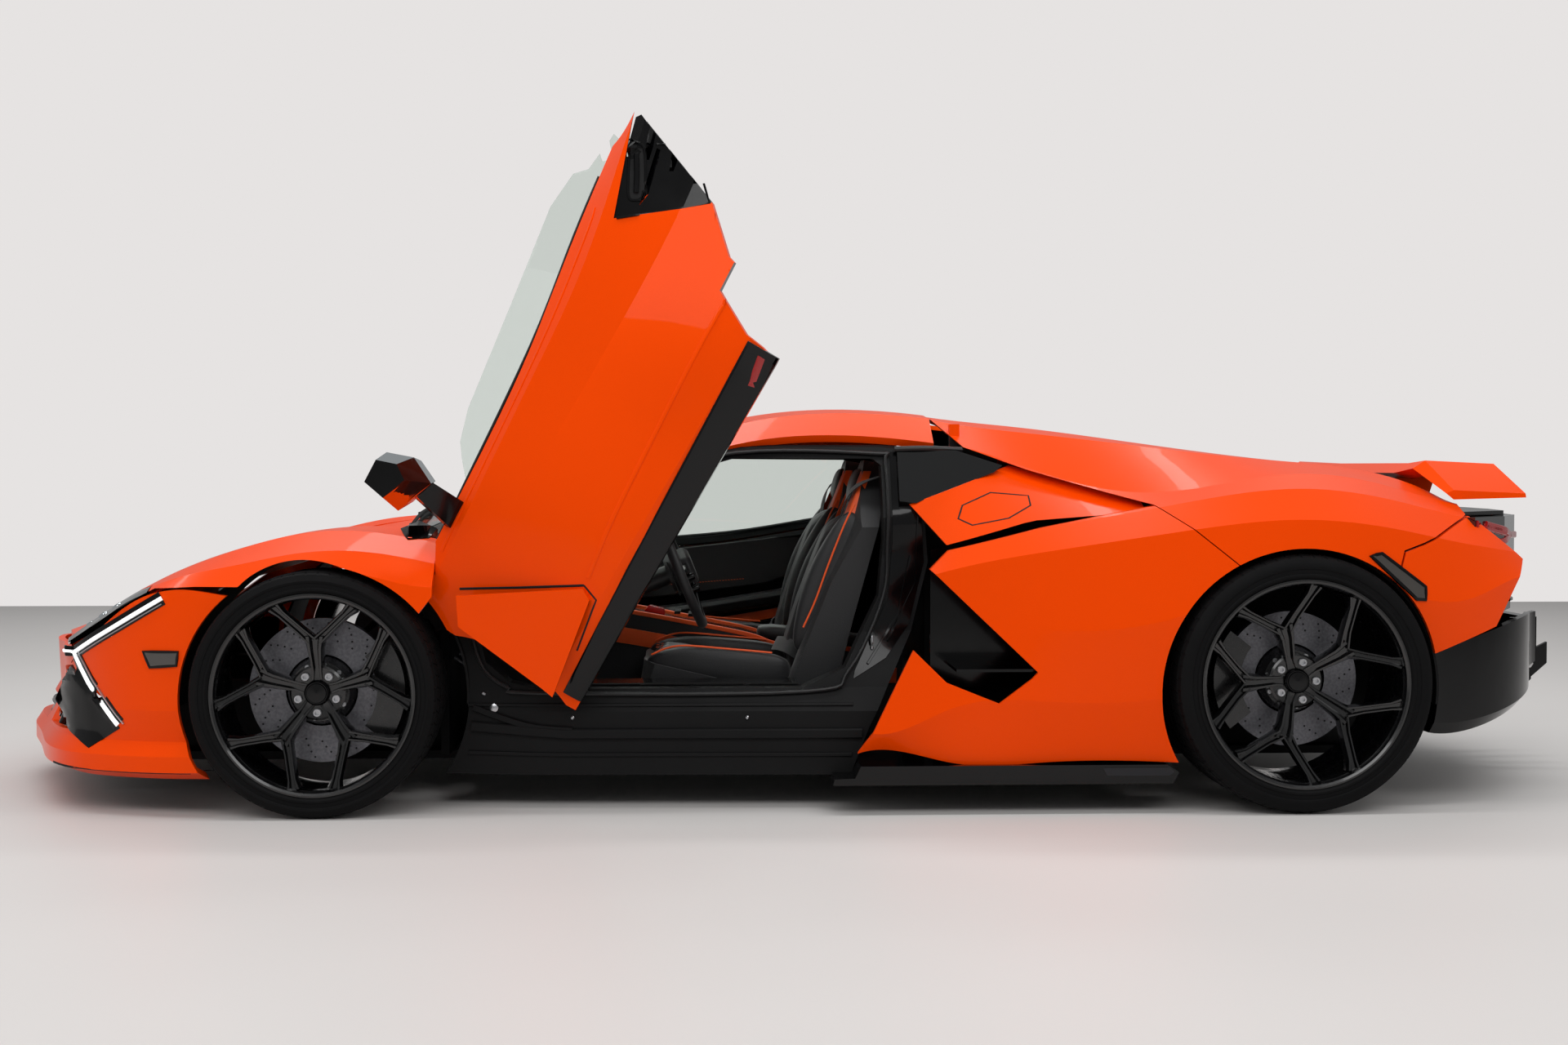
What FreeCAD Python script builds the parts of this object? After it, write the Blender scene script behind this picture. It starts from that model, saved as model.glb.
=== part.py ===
import FreeCAD, Part
import math
import os

os.makedirs("parts", exist_ok=True)
V = FreeCAD.Vector

# Frame: X runs rearward, Y to the car's right, Z up. X = 0 is the middle of the overall length and
# Z = 0 the ground. Body tables give w, the distance outward from the centre plane, for either side.

# Driving dimensions of the whole car
LENGTH = 4947.0
WIDTH = 2033.0
HEIGHT = 1160.0
WHEELBASE = 2779.0
FRONT_OVERHANG = 1065.0
TRACK_F = 1720.0
TRACK_R = 1701.0
AXLE_F = FRONT_OVERHANG - LENGTH / 2
AXLE_R = AXLE_F + WHEELBASE

# The body tables were drawn for these overall sizes and stretch with the driving dimensions
DRAWN_LENGTH = 4947.0
DRAWN_WIDTH = 2033.0
DRAWN_HEIGHT = 1160.0

# Wheels: tyre width, outside diameter and rim diameter, front and rear
TYRE_F = {"width": 265.0, "od": 692.4, "rim": 568.0, "inset": 70.0}
TYRE_R = {"width": 355.0, "od": 736.3, "rim": 593.0, "inset": 95.0}
TREAD_SHARE = 0.80
RIM_WALL = 11.0
HUB_R = 78.0
STUB_R = 33.0
HUB_PLAY = 0.4
SPOKES = 5
BRANCH_ANGLE = 24.0
SPOKE_NODE = 0.565
SPOKE_T = 30.0
DISC_F_R = 205.0
DISC_R_R = 195.0
DISC_T = 34.0
BELL_R = 104.0
BELL_FACE_R = 84.0

# Panels and gaps: between moving panels, between seated pieces, and round a hinge pin
GAP = 5.0
SEAT = 0.3
PIN_PLAY = 0.3
SKIN = 16.0
LID_SKIN = 22.0
DOOR_T = 62.0
GLASS_T = 6.0
ARCH_F_R = 380.0
ARCH_F_Z = 328.0
ARCH_R_R = 405.0
ARCH_R_Z = 346.0

# Doors: both swing about a raked hinge line behind the front wheel
HINGE_X = -1030.0
HINGE_W = 850.0
HINGE_Z = 530.0
HINGE_RAKE = 0.12
DOOR_OPEN = 60.0

HINGE_PIN_R = 9.0
HINGE_LUG_R = 22.0

# Front lid: rear edge, and its hinge pins in the two rear corners
LID_REAR_X = -1292.0
LID_PIN_X = -1297.0
LID_PIN_Z = 789.0
LID_PIN_R = 5.0

# Ball joints: how far inside the upright's outer face they lie. The front wheels steer about their line.
KING_INSET = 9.5
KING_PIN_R = 9.0
BALL_R = 14.0
BALL_RISE = 180.0
UPRIGHT_RISE = 120.0


def sx(x):
    """A table's x, stretched to the car's length."""
    return x * LENGTH / DRAWN_LENGTH


def sw(w):
    """A table's w, stretched to the car's width."""
    return w * WIDTH / DRAWN_WIDTH


def sz(z):
    """A table's z, stretched to the car's height."""
    return z * HEIGHT / DRAWN_HEIGHT


def loft(loops, ruled=False):
    """A solid through closed loops of points."""
    wires = [Part.makePolygon(list(loop) + [loop[0]]) for loop in loops]
    return Part.makeLoft(wires, True, ruled)


def extrude(points, direction):
    """A closed flat loop of points, extruded."""
    face = Part.Face(Part.makePolygon(list(points) + [points[0]]))
    return face.extrude(direction)


def side_prism(outline, w0, w1):
    """An outline of (x, z), extruded across the left side from w0 out to w1."""
    points = [V(sx(x), -w0, sz(z)) for x, z in outline]
    return extrude(points, V(0, w0 - w1, 0))


def plan_prism(outline, z0, z1):
    """An outline of (x, w) on the left side, extruded upward from z0 to z1."""
    points = [V(sx(x), -sw(w), z0) for x, w in outline]
    return extrude(points, V(0, 0, z1 - z0))


def front_prism(outline, x0, x1):
    """An outline of (w, z) on the left side, extruded rearward from x0 to x1."""
    points = [V(x0, -sw(w), sz(z)) for w, z in outline]
    return extrude(points, V(x1 - x0, 0, 0))


def box(x0, x1, w0, w1, z0, z1):
    """A box on the left side between two x, two w and two z."""
    return Part.makeBox(x1 - x0, w1 - w0, z1 - z0, V(x0, -w1, z0))


def centre_box(x0, x1, half, z0, z1):
    """A box across the centre plane."""
    return Part.makeBox(x1 - x0, 2 * half, z1 - z0, V(x0, -half, z0))


def mirrored(shape):
    """The same shape on the other side of the car."""
    return shape.mirror(V(0, 0, 0), V(0, 1, 0))


def both(shape):
    """A left piece and its mirror image as solids that don't touch."""
    return Part.makeCompound([shape, mirrored(shape)])


def fuse(shapes):
    """Pieces joined into one solid."""
    joined = shapes[0]
    for shape in shapes[1:]:
        joined = joined.fuse(shape)
    return joined.removeSplitter()


def offset_line(line, t):
    """An open line of (w, z) moved inward by t, mitred at its corners."""
    normals = []
    for (w0, z0), (w1, z1) in zip(line, line[1:]):
        size = math.hypot(w1 - w0, z1 - z0)
        normals.append(((z1 - z0) / size, (w0 - w1) / size))
    moved = []
    for i, (w, z) in enumerate(line):
        a = normals[max(i - 1, 0)]
        b = normals[min(i, len(normals) - 1)]
        k = t / (1 + a[0] * b[0] + a[1] * b[1])
        moved.append((w + (a[0] + b[0]) * k, z + (a[1] + b[1]) * k))
    return moved


def left_skin(stations, t, inset=0.0, ruled=False):
    """A panel of thickness t on the left side, lofted along x through lines of (w, z)."""
    loops = []
    for x, line in stations:
        outer = [(sw(w), sz(z)) for w, z in line]
        if inset:
            outer = offset_line(outer, inset)
        ring = outer + offset_line(outer, t)[::-1]
        loops.append([V(sx(x), -w, z) for w, z in ring])
    return loft(loops, ruled)


def full_skin(stations, t, inset=0.0, ruled=False):
    """A panel of thickness t across the car, lofted along x through half lines of (w, z)."""
    loops = []
    for x, line in stations:
        half = [(sw(w), sz(z)) for w, z in line]
        outer = [(-w, z) for w, z in half[:0:-1]] + half
        if inset:
            outer = offset_line(outer, inset)
        ring = outer + offset_line(outer, t)[::-1]
        loops.append([V(sx(x), w, z) for w, z in ring])
    return loft(loops, ruled)


def arch(x, z, r):
    """A cylinder across the whole car that cuts a wheel arch."""
    return Part.makeCylinder(r, 2 * WIDTH, V(x, -WIDTH, z), V(0, 1, 0))


ARCH_F = arch(AXLE_F, ARCH_F_Z, ARCH_F_R)
ARCH_R = arch(AXLE_R, ARCH_R_Z, ARCH_R_R)
# Wheel-house liners, and the room that the doors' front edges leave for the steered tyre
LINER_F_R = ARCH_F_R + 25.0
LINER_T = 7.0
DOOR_ARCH_R = ARCH_F_R + 15.0


def moved(shape, x, y, z):
    """The same shape, shifted."""
    copy = shape.copy()
    copy.translate(V(x, y, z))
    return copy


def seated(bracket, panel, x=0.0, z=0.0):
    """A bracket cut back to lie just short of a panel, on the side that x or z points to."""
    cut = bracket.cut(panel).cut(moved(panel, x * SEAT, 0, z * SEAT))
    return biggest(cut)


def biggest(shape):
    """The largest solid of a cut shape."""
    return max(shape.Solids, key=lambda solid: solid.Volume)


def bar(p0, p1, wide0, wide1, thick):
    """A flat bar between two points: wide across the wheel's face, thick along its axle."""
    along = p1.sub(p0)
    side = V(0, 1, 0).cross(along)
    side.normalize()
    loops = []
    for p, wide in ((p0, wide0), (p1, wide1)):
        a = side * (wide / 2)
        b = V(0, thick / 2, 0)
        loops.append([p + a + b, p - a + b, p - a - b, p + a - b])
    return loft(loops, True)


def rod(p0, p1, r):
    """A round rod between two points."""
    along = p1.sub(p0)
    return Part.makeCylinder(r, along.Length, p0, along)


def save(name, shape):
    """Write one sub-part, report its state and hand it back."""
    shape.exportStep("parts/%s.step" % name)
    b = shape.optimalBoundingBox(False)
    print("%-22s solids %d valid %s x %.0f..%.0f y %.0f..%.0f z %.0f..%.0f vol %.4f" % (
        name, len(shape.Solids), shape.isValid(), b.XMin, b.XMax, b.YMin, b.YMax, b.ZMin, b.ZMax,
        shape.Volume / 1e9))
    return shape


def save_sides(name, shape):
    """Write a left piece and its mirror image as two sub-parts, and hand back the left one."""
    save(name + "_right", mirrored(shape))
    return save(name + "_left", shape)


# Front of the car
# Each station: x, then (w, z) from the centre out to the lid's seam
LID_LINES = [
    (-2450, [(0, 428), (250, 405), (450, 360), (600, 318)]),
    (-2240, [(0, 505), (250, 492), (450, 472), (602, 447)]),
    (-2050, [(0, 578), (250, 562), (450, 556), (604, 557)]),
    (-1860, [(0, 640), (250, 622), (450, 634), (600, 666)]),
    (-1640, [(0, 708), (250, 690), (450, 706), (595, 737)]),
    (-1408, [(0, 758), (250, 742), (450, 756), (595, 784)]),
    (-1270, [(0, 782), (250, 768), (450, 782), (600, 800)]),
]
# Plan outline (x, w) of half the lid
LID_PLAN = [(-2376, 0), (-2288, 270), (-2205, 516), (-2172, 585), (-2172, 700), (LID_REAR_X, 700), (LID_REAR_X, 0)]

# Each station: x, then (w, z) at lid seam, inner crest, outer crest, shoulder, lip and lower edge
FENDER_LINES = [
    (-2240, [(607, 449), (650, 446), (700, 436), (750, 420), (785, 400), (800, 370)]),
    (-2050, [(609, 560), (660, 566), (750, 558), (830, 538), (885, 512), (905, 470)]),
    (-1860, [(605, 667), (680, 674), (780, 666), (870, 650), (925, 632), (945, 590)]),
    (-1640, [(600, 738), (670, 753), (780, 749), (890, 704), (955, 645), (970, 560)]),
    (-1408, [(600, 786), (670, 801), (790, 797), (910, 744), (975, 694), (982, 560)]),
    (-1200, [(620, 800), (680, 804), (790, 784), (900, 732), (966, 664), (976, 545)]),
    (-1060, [(660, 790), (700, 782), (780, 757), (880, 702), (945, 648), (958, 530)]),
]
# Line in side view under the lamp and the fender, where the bumper's top edge runs
BUMPER_TOP = [(-2330, 415), (-2180, 452), (-2010, 548), (-1860, 634), (-1740, 640), (-1560, 640)]
# Plan line (x, w) between the lamp and the fender
LAMP_PLAN = [(-2196, 600), (-2070, 600), (-1884, 850), (-1866, 1100), (-2100, 1100), (-2150, 720)]

# Each station: plan point (x, w) of the lip, then height and setback of the top edge
NOSE_LINES = [
    (-2473, 0, 436, 70),
    (-2380, 300, 440, 70),
    (-2285, 550, 452, 60),
    (-2185, 750, 452, 44),
    (-2010, 885, 541, 12),
    (-1860, 935, 627, 0),
    (-1720, 950, 633, 0),
    (-1560, 955, 633, 0),
]
NOSE_SKIN = 20.0
INSERT_SKIN = 12.0
# Front view outlines (w, z) of the openings in the nose
SIDE_INTAKE = [(352, 345), (560, 392), (742, 412), (860, 330), (835, 232), (420, 212)]
MID_INTAKE = [(-300, 205), (-300, 270), (300, 270), (300, 205)]


def plan_normals(points):
    """Outward normals in plan of the left half of the nose, from centre to side."""
    normals = []
    last = len(points) - 1
    for i in range(len(points)):
        if i == 0:
            normals.append((-1.0, 0.0))
            continue
        a = points[i - 1]
        b = points[min(i + 1, last)]
        dx, dw = b[0] - a[0], b[1] - a[1]
        size = math.hypot(dx, dw)
        normals.append((-dw / size, dx / size))
    return normals


def nose_shell(t, inset=0.0):
    """The nose as one shell from arch to arch, which follows the lip in plan."""
    plan = [(sx(x), sw(w)) for x, w, top, back in NOSE_LINES]
    loops = []
    for (x, w), (nx, nw), (_, _, top, back) in zip(plan, plan_normals(plan), NOSE_LINES):
        line = [(-back, sz(top)), (-back - 6, sz(300)), (-26, sz(212)), (0, sz(172)), (0, sz(128)), (-60, sz(102))]
        line = offset_line(line, inset) if inset else line
        ring = line + offset_line(line, t)[::-1]
        loops.append([V(x + d * nx, -(w + d * nw), z) for d, z in ring])
    far_side = [[V(p.x, -p.y, p.z) for p in loop] for loop in loops[:0:-1]]
    return loft(far_side + loops)


def build_front():
    """Nose, its dark inserts, lamps, lid, fenders and cowl."""
    nose = nose_shell(NOSE_SKIN).cut(ARCH_F)
    openings = front_prism(SIDE_INTAKE, sx(-2600), sx(-1960))
    nose = nose.cut(openings).cut(mirrored(openings)).cut(front_prism(MID_INTAKE, sx(-2600), sx(-2300)))
    save("nose", nose)
    insert = nose_shell(INSERT_SKIN, NOSE_SKIN + SEAT)
    keep = front_prism([(-900, 150), (-900, 425), (-560, 420), (0, 380), (560, 420), (900, 425), (900, 150)],
                       sx(-2600), sx(-1900))
    insert = save("nose_inserts", insert.common(keep).cut(ARCH_F))

    lamp_floor = [(x, z + GAP + 2) for x, z in BUMPER_TOP]
    below = side_prism(lamp_floor + [(-1560, 0), (-2600, 0), (-2600, 380)], 100, WIDTH)
    side = left_skin(FENDER_LINES, SKIN)
    lamp = left_skin(FENDER_LINES, 45.0).common(plan_prism(LAMP_PLAN, 0, HEIGHT)).cut(below)
    save("headlamps", both(lamp))
    lamp_zone = plan_prism([(x + GAP, w - GAP) for x, w in LAMP_PLAN[:4]] + [(-2600, 1100), (-2600, 595)], 0, HEIGHT)
    rear_edge = [(-1083, 2000), (-1083, 618), (-1138, 545), (-1138, 300), (-900, 300), (-900, 2000)]
    fender = side.cut(lamp_zone).cut(below).cut(ARCH_F).cut(side_prism(rear_edge, 0, WIDTH))
    pillar_zone = plan_prism([(-1162, 500), (-1160, 560), (-1114, 750), (-1000, 750), (-1000, 500)], 0, HEIGHT)
    fender = biggest(fender.cut(pillar_zone).cut(steered_tyre_room()))
    pin = rod(V(LID_PIN_X, -sw(586), sz(LID_PIN_Z)), V(LID_PIN_X, -sw(616), sz(LID_PIN_Z)), LID_PIN_R)
    fender = save_sides("front_fender", fuse([fender, pin]))

    lid = full_skin(LID_LINES, LID_SKIN)
    plan = plan_prism(LID_PLAN, 0, HEIGHT)
    bore = rod(V(LID_PIN_X, -sw(584), sz(LID_PIN_Z)), V(LID_PIN_X, -sw(620), sz(LID_PIN_Z)), LID_PIN_R + PIN_PLAY)
    lid = lid.common(fuse([plan, mirrored(plan)])).cut(bore).cut(mirrored(bore))
    save("front_lid", lid)
    return {"insert": insert, "lamp": lamp, "fender": fender}


# Glasshouse
# Each station: x, then (w, z) from the centre to the pillar
ROOF_X = -330.0
SCREEN_LINES = [
    (-1300, [(0, 792), (350, 780), (600, 735), (690, 690)]),
    (-1080, [(0, 876), (350, 866), (600, 826), (682, 786)]),
    (-800, [(0, 979), (340, 970), (570, 935), (644, 893)]),
    (-560, [(0, 1050), (320, 1043), (540, 1012), (606, 972)]),
    (ROOF_X - SEAT, [(0, 1104), (300, 1099), (500, 1072), (566, 1034)]),
]
SCREEN_PLAN = [(-1262, 0), (-1240, 300), (-1150, 560), (-1095, 800), (-300, 800), (-300, 0)]
PILLAR_LINES = [
    (-1105, [(688, 776), (740, 762), (735, 735), (680, 748)]),
    (-800, [(650, 890), (688, 868), (680, 838), (640, 858)]),
    (-560, [(612, 968), (650, 944), (642, 912), (602, 934)]),
    (-330, [(572, 1030), (612, 1006), (606, 976), (560, 996)]),
]
ROOF_LINES = [
    (ROOF_X, [(0, 1108), (300, 1103), (500, 1076), (606, 1018)]),
    (-150, [(0, 1141), (300, 1143), (480, 1124), (590, 1062)]),
    (60, [(0, 1149), (300, 1160), (470, 1144), (584, 1076)]),
    (366, [(0, 1118), (300, 1142), (460, 1128), (584, 1052)]),
]
ROOF_SKIN = 24.0
COWL_Z = 730.0
COWL_T = 22.0


def build_glasshouse():
    """Windscreen, roof with its front pillars, and the dark cowl."""
    screen = full_skin(SCREEN_LINES, GLASS_T)
    plan = plan_prism(SCREEN_PLAN, 0, 1.2 * HEIGHT)
    save("windscreen", screen.common(fuse([plan, mirrored(plan)])))
    roof = full_skin(ROOF_LINES, ROOF_SKIN)
    pillar = loft([[V(sx(x), -sw(w), sz(z)) for w, z in line] for x, line in PILLAR_LINES])
    save("roof", fuse([roof, pillar, mirrored(pillar)]))
    cowl_plan = [(-1287, 0), (-1287, 600), (-1165, 655), (-1110, 655), (-1160, 540), (-1235, 300), (-1256, 0)]
    cowl = plan_prism(cowl_plan, sz(COWL_Z), sz(COWL_Z) + COWL_T)
    save("cowl", fuse([cowl, mirrored(cowl)]))
    return [roof, pillar]


# Doors, in the shut position on the left side
# Each station: x, then (w, z) at belt, shoulder, middle, low crease, strip top and lower edge
DOOR_LINES = [
    (-1060, [(858, 690), (866, 640), (870, 540), (876, 360), (882, 205), (868, 112)]),
    (-900, [(868, 692), (882, 645), (888, 540), (905, 330), (915, 205), (898, 112)]),
    (-700, [(862, 700), (896, 655), (912, 540), (948, 285), (954, 205), (926, 112)]),
    (-234, [(840, 735), (896, 685), (908, 540), (958, 295), (960, 205), (930, 112)]),
    (100, [(804, 788), (884, 722), (884, 545), (960, 315), (958, 205), (930, 112)]),
    (300, [(784, 815), (862, 765), (846, 560), (918, 345), (935, 205), (922, 112)]),
    (500, [(768, 842), (838, 806), (816, 590), (900, 360), (940, 205), (930, 112)]),
]
# Side view outline (x, z) of the shut door
DOOR_OUTLINE = [
    (-1048, 566), (-1046, 652), (-924, 648), (-846, 694), (-800, 900), (470, 900), (488, 820), (366, 492),
    (262, 372), (256, 350), (170, 344), (104, 220), (96, 166), (86, 132), (84, 60), (-1064, 60), (-1060, 160),
]
# Side view outline of the dark recess at the door's rear and of the vane at its front
RECESS = [(192, 705), (362, 494), (700, 494), (700, 826), (486, 812)]
RECESS_DEPTH = 18.0
# The lug on the door's inner face, from the inner end out to the outer end
HINGE_LUG_W = (803.0, 862.0)
VANE = [(-1003, 507), (-930, 555), (-732, 259), (-750, 227), (-1039, 181), (-1033, 219)]
VANE_W = 962.0
VANE_T = 12.0
# Plane of the side glass: its w at two heights
GLASS_LOW = (800.0, 735.0)
GLASS_HIGH = (606.0, 1056.0)
SLOT_DEPTH = 70.0
# Room for the steered front tyre, about the king line, and the opening angles at which the door is cleared
KING_W = 785.0
TYRE_ROOM_R = 405.0
TYRE_SWEEP_ANGLES = (0, 20, 40, DOOR_OPEN)
FLAP_SWEEP_ANGLES = (2, 5, 8, 10, 12, 15)
LINER_SWEEP_ANGLES = (35, 40, 45, 50, 55)
SWEEP_ROOM = 2.0


def glass_w(z):
    """Outer face of the side glass at a height."""
    share = (z - GLASS_LOW[1]) / (GLASS_HIGH[1] - GLASS_LOW[1])
    return GLASS_LOW[0] + share * (GLASS_HIGH[0] - GLASS_LOW[0])


def glass_slab(z0, z1, t, out=0.0):
    """A long slab in the plane of the side glass, from z0 up to z1."""
    a = (glass_w(z0) + out, z0)
    b = (glass_w(z1) + out, z1)
    inner = offset_line([b, a], t)
    line = [b, a, inner[1], inner[0]]
    return front_prism(line, sx(-1300), sx(800))


# Side view outlines of the raised glass and of the same glass part way down
GLASS_UP = [(-832, 660), (-832, 742), (-560, 906), (-236, 1012), (212, 1006), (262, 860), (262, 720)]
GLASS_DOWN = [(-675, 640), (-675, 700), (-620, 756), (-580, 790), (-489, 820), (-145, 868), (126, 908),
              (240, 896), (274, 860), (395, 845), (360, 700)]


def hinge():
    """A point on the left door's hinge line and the line's direction."""
    return V(sx(HINGE_X), -sw(HINGE_W), sz(HINGE_Z)), V(0, -1, -HINGE_RAKE)


def opened(shape, angle=DOOR_OPEN):
    """A left door piece swung open by an angle."""
    point, axis = hinge()
    turned = shape.copy()
    turned.rotate(point, axis, angle)
    return turned


def along_hinge(w):
    """The point of the left hinge line at a distance from the centre plane."""
    point, axis = hinge()
    return point + axis * (w - sw(HINGE_W))


def steered_tyre_room():
    """The ball that a steered front tyre stays within on the side of the door."""
    return Part.makeSphere(TYRE_ROOM_R, V(AXLE_F, -sw(KING_W), TYRE_F["od"] / 2))


def build_doors(fender, rear):
    """Doors with their glass and mirrors; the left door stands open."""
    outline = side_prism(DOOR_OUTLINE, 400, WIDTH)
    door = left_skin(DOOR_LINES, DOOR_T).common(outline)
    inner = Part.makeCylinder(LINER_F_R + LINER_T + GAP, 445, V(AXLE_F, -845, ARCH_F_Z), V(0, 1, 0))
    door = door.cut(arch(AXLE_F, ARCH_F_Z, DOOR_ARCH_R)).cut(inner)
    frame_room = left_skin(FRAME_LINES, FRAME_T, -GAP, True)
    for angle in (0, 20, 40, DOOR_OPEN):
        door = door.cut(opened(frame_room, -angle))
    flap_room = left_skin(REAR_LINES, 200.0, FLAP_INSET - GAP).common(side_prism(FLAP_ROOM, 400, WIDTH))
    door = biggest(door.cut(flap_room))
    lug = rod(along_hinge(HINGE_LUG_W[0]), along_hinge(HINGE_LUG_W[1]), HINGE_LUG_R)
    bore = rod(along_hinge(HINGE_LUG_W[0] - 5), along_hinge(HINGE_LUG_W[1] - 8), HINGE_PIN_R + PIN_PLAY)
    door = fuse([door, lug]).cut(bore)
    recess = left_skin(DOOR_LINES, RECESS_DEPTH + DOOR_T, -DOOR_T).common(side_prism(RECESS, 400, WIDTH))
    door = door.cut(recess)
    vane = side_prism(VANE, sw(VANE_W - VANE_T), sw(VANE_W))
    stay = side_prism([(-800, 330), (-732, 259), (-750, 227), (-830, 250)], sw(900), sw(VANE_W - VANE_T / 2))
    door = fuse([door, vane, stay])
    slot = glass_slab(735.0 - SLOT_DEPTH, 1100.0, GLASS_T + 3.0, 1.5)
    slot = slot.common(side_prism([(-1000, 600), (-1000, 1100), (420, 1100), (420, 600)], 0, WIDTH))
    door = door.cut(slot)
    for angle in TYRE_SWEEP_ANGLES:
        door = door.cut(opened(steered_tyre_room(), -angle))
    for angle in FLAP_SWEEP_ANGLES:
        for room in (0, SWEEP_ROOM):
            door = door.cut(opened(moved(rear["flap"], 0, -room, 0), -angle))
            door = door.cut(opened(moved(rear["fender"], 0, -room, 0), -angle))
    for angle in LINER_SWEEP_ANGLES:
        door = door.cut(opened(front_liner(SWEEP_ROOM), -angle))
    door = biggest(door)
    pane = glass_slab(735.0 - SLOT_DEPTH, 1056.0, GLASS_T)
    glass_down = pane.common(side_prism(GLASS_DOWN, 0, WIDTH))
    for room in (-SWEEP_ROOM, 0, SWEEP_ROOM):
        glass_down = glass_down.cut(moved(rear["flap"], 0, room, 0))
    glass_down = biggest(glass_down)
    glass_up = pane.common(side_prism(GLASS_UP, 0, WIDTH))
    glass_up = glass_up.cut(opened(fender, -DOOR_OPEN))
    save("door_left", opened(door))
    save("door_right", mirrored(door))
    save("door_glass_left", opened(glass_down))
    save("door_glass_right", mirrored(glass_up))
    mirror = biggest(door_mirror().cut(door))
    save("mirror_left", opened(mirror))
    save("mirror_right", mirrored(mirror))


# Door mirror: each station: w, then (x, z) corners of the housing
MIRROR_LINES = [
    (975, [(-760, 785), (-678, 759), (-649, 821), (-678, 869), (-750, 857)]),
    (1040, [(-790, 797), (-678, 755), (-640, 831), (-666, 903), (-767, 891)]),
    (1118, [(-765, 836), (-693, 809), (-666, 848), (-685, 903), (-753, 901)]),
]


def door_mirror():
    """Mirror housing on its arm, in the shut door's position."""
    housing = loft([[V(sx(x), -sw(w), sz(z)) for x, z in line] for w, line in MIRROR_LINES], True)
    foot = [V(sx(x), -sw(868), sz(z)) for x, z in ((-794, 664), (-709, 664), (-709, 686), (-794, 690))]
    top = [V(sx(x), -sw(1000), sz(z)) for x, z in ((-735, 790), (-680, 780), (-680, 815), (-735, 822))]
    return fuse([housing, loft([foot, top], True)])


# Rear of the car
# Each station: x, then (w, z) at deck edge, crest, upper edge, fender edge, shoulder, middle, low crease, foot
REAR_LINES = [
    (60, [(320, 1150), (470, 1142), (584, 1070), (850, 740), (930, 668), (945, 520), (965, 285), (950, 145)]),
    (372, [(330, 1136), (462, 1124), (584, 1046), (885, 752), (962, 690), (962, 500), (975, 300), (955, 145)]),
    (640, [(345, 1106), (490, 1086), (630, 978), (885, 806), (974, 742), (985, 520), (985, 320), (960, 145)]),
    (975, [(380, 1062), (505, 1048), (740, 905), (865, 862), (985, 792), (1006, 550), (995, 330), (965, 145)]),
    (1370, [(450, 1008), (560, 1003), (790, 958), (900, 918), (1000, 832), (1016, 660), (1000, 400), (970, 145)]),
    (1650, [(515, 968), (615, 972), (760, 934), (870, 888), (975, 802), (990, 620), (962, 380), (930, 200)]),
    (1850, [(560, 902), (640, 908), (735, 882), (832, 842), (925, 762), (946, 600), (920, 400), (900, 220)]),
    (2085, [(500, 806), (560, 808), (625, 796), (705, 768), (800, 722), (840, 660), (800, 500), (750, 350)]),
]
# Side view outlines (x, z)
BLADE_FRONT = [
    (-200, 100), (97, 100), (97, 150), (155, 232), (267, 463), (360, 372), (507, 314), (600, 384), (616, 402),
    (316, 690), (372, 742), (640, 806), (975, 868), (975, 1400), (-200, 1400),
]
QUARTER_EDGE = [(366, 1400), (366, 1130), (455, 1040), (640, 972), (975, 872), (1262, 640), (1262, 0),
                (2600, 0), (2600, 1400)]
BUMPER_SEAM = [(1560, 400), (1660, 744), (1722, 765), (1905, 842), (1925, 1200), (2600, 1200), (2600, 0), (1560, 0)]
BUMPER_END = [(1896, 848), (2066, 712), (1960, 521), (1793, 459), (1740, 440), (1560, 300), (1560, 1200),
              (1896, 1200)]
# Flap panels: side view outline, how far they lie below the body's surface, and the door's room over them
FLAP_PANEL = [(283, 870), (592, 985), (960, 900), (960, 850), (640, 826), (600, 818), (374, 756)]
FLAP_INSET = 26.0
FLAP_ROOM = [(270, 868), (370, 748), (600, 808), (600, 1000), (270, 1000)]


def build_rear_sides():
    """Rear fenders with the intake, quarter panels, bumper sides and flap panels."""
    skin = left_skin(REAR_LINES, SKIN)
    quarter = skin.common(side_prism(QUARTER_EDGE, 0, WIDTH)).cut(ARCH_R)
    bumper_zone = side_prism(BUMPER_SEAM, 0, WIDTH)
    quarter_panel = quarter.cut(bumper_zone)
    quarter_panel = save_sides("rear_quarter", quarter_panel)
    grow = side_prism([(x - GAP, z) for x, z in QUARTER_EDGE], 0, WIDTH)
    fender = skin.cut(grow).cut(side_prism(BLADE_FRONT, 0, WIDTH)).cut(ARCH_R)
    fender = save_sides("rear_fender", fender)
    seam = side_prism([(x + GAP, z - GAP) for x, z in BUMPER_SEAM], 0, WIDTH)
    side = quarter.common(seam).common(side_prism(BUMPER_END, 0, WIDTH))
    save("rear_bumper", both(side))
    flap_skin = left_skin(REAR_LINES, SKIN, FLAP_INSET)
    flap_panel = flap_skin.common(side_prism(FLAP_PANEL, 520, WIDTH))
    save("flap_panels", both(flap_panel))
    return {"quarter": quarter_panel, "fender": fender, "bumper": side, "flap": flap_panel}


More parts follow.
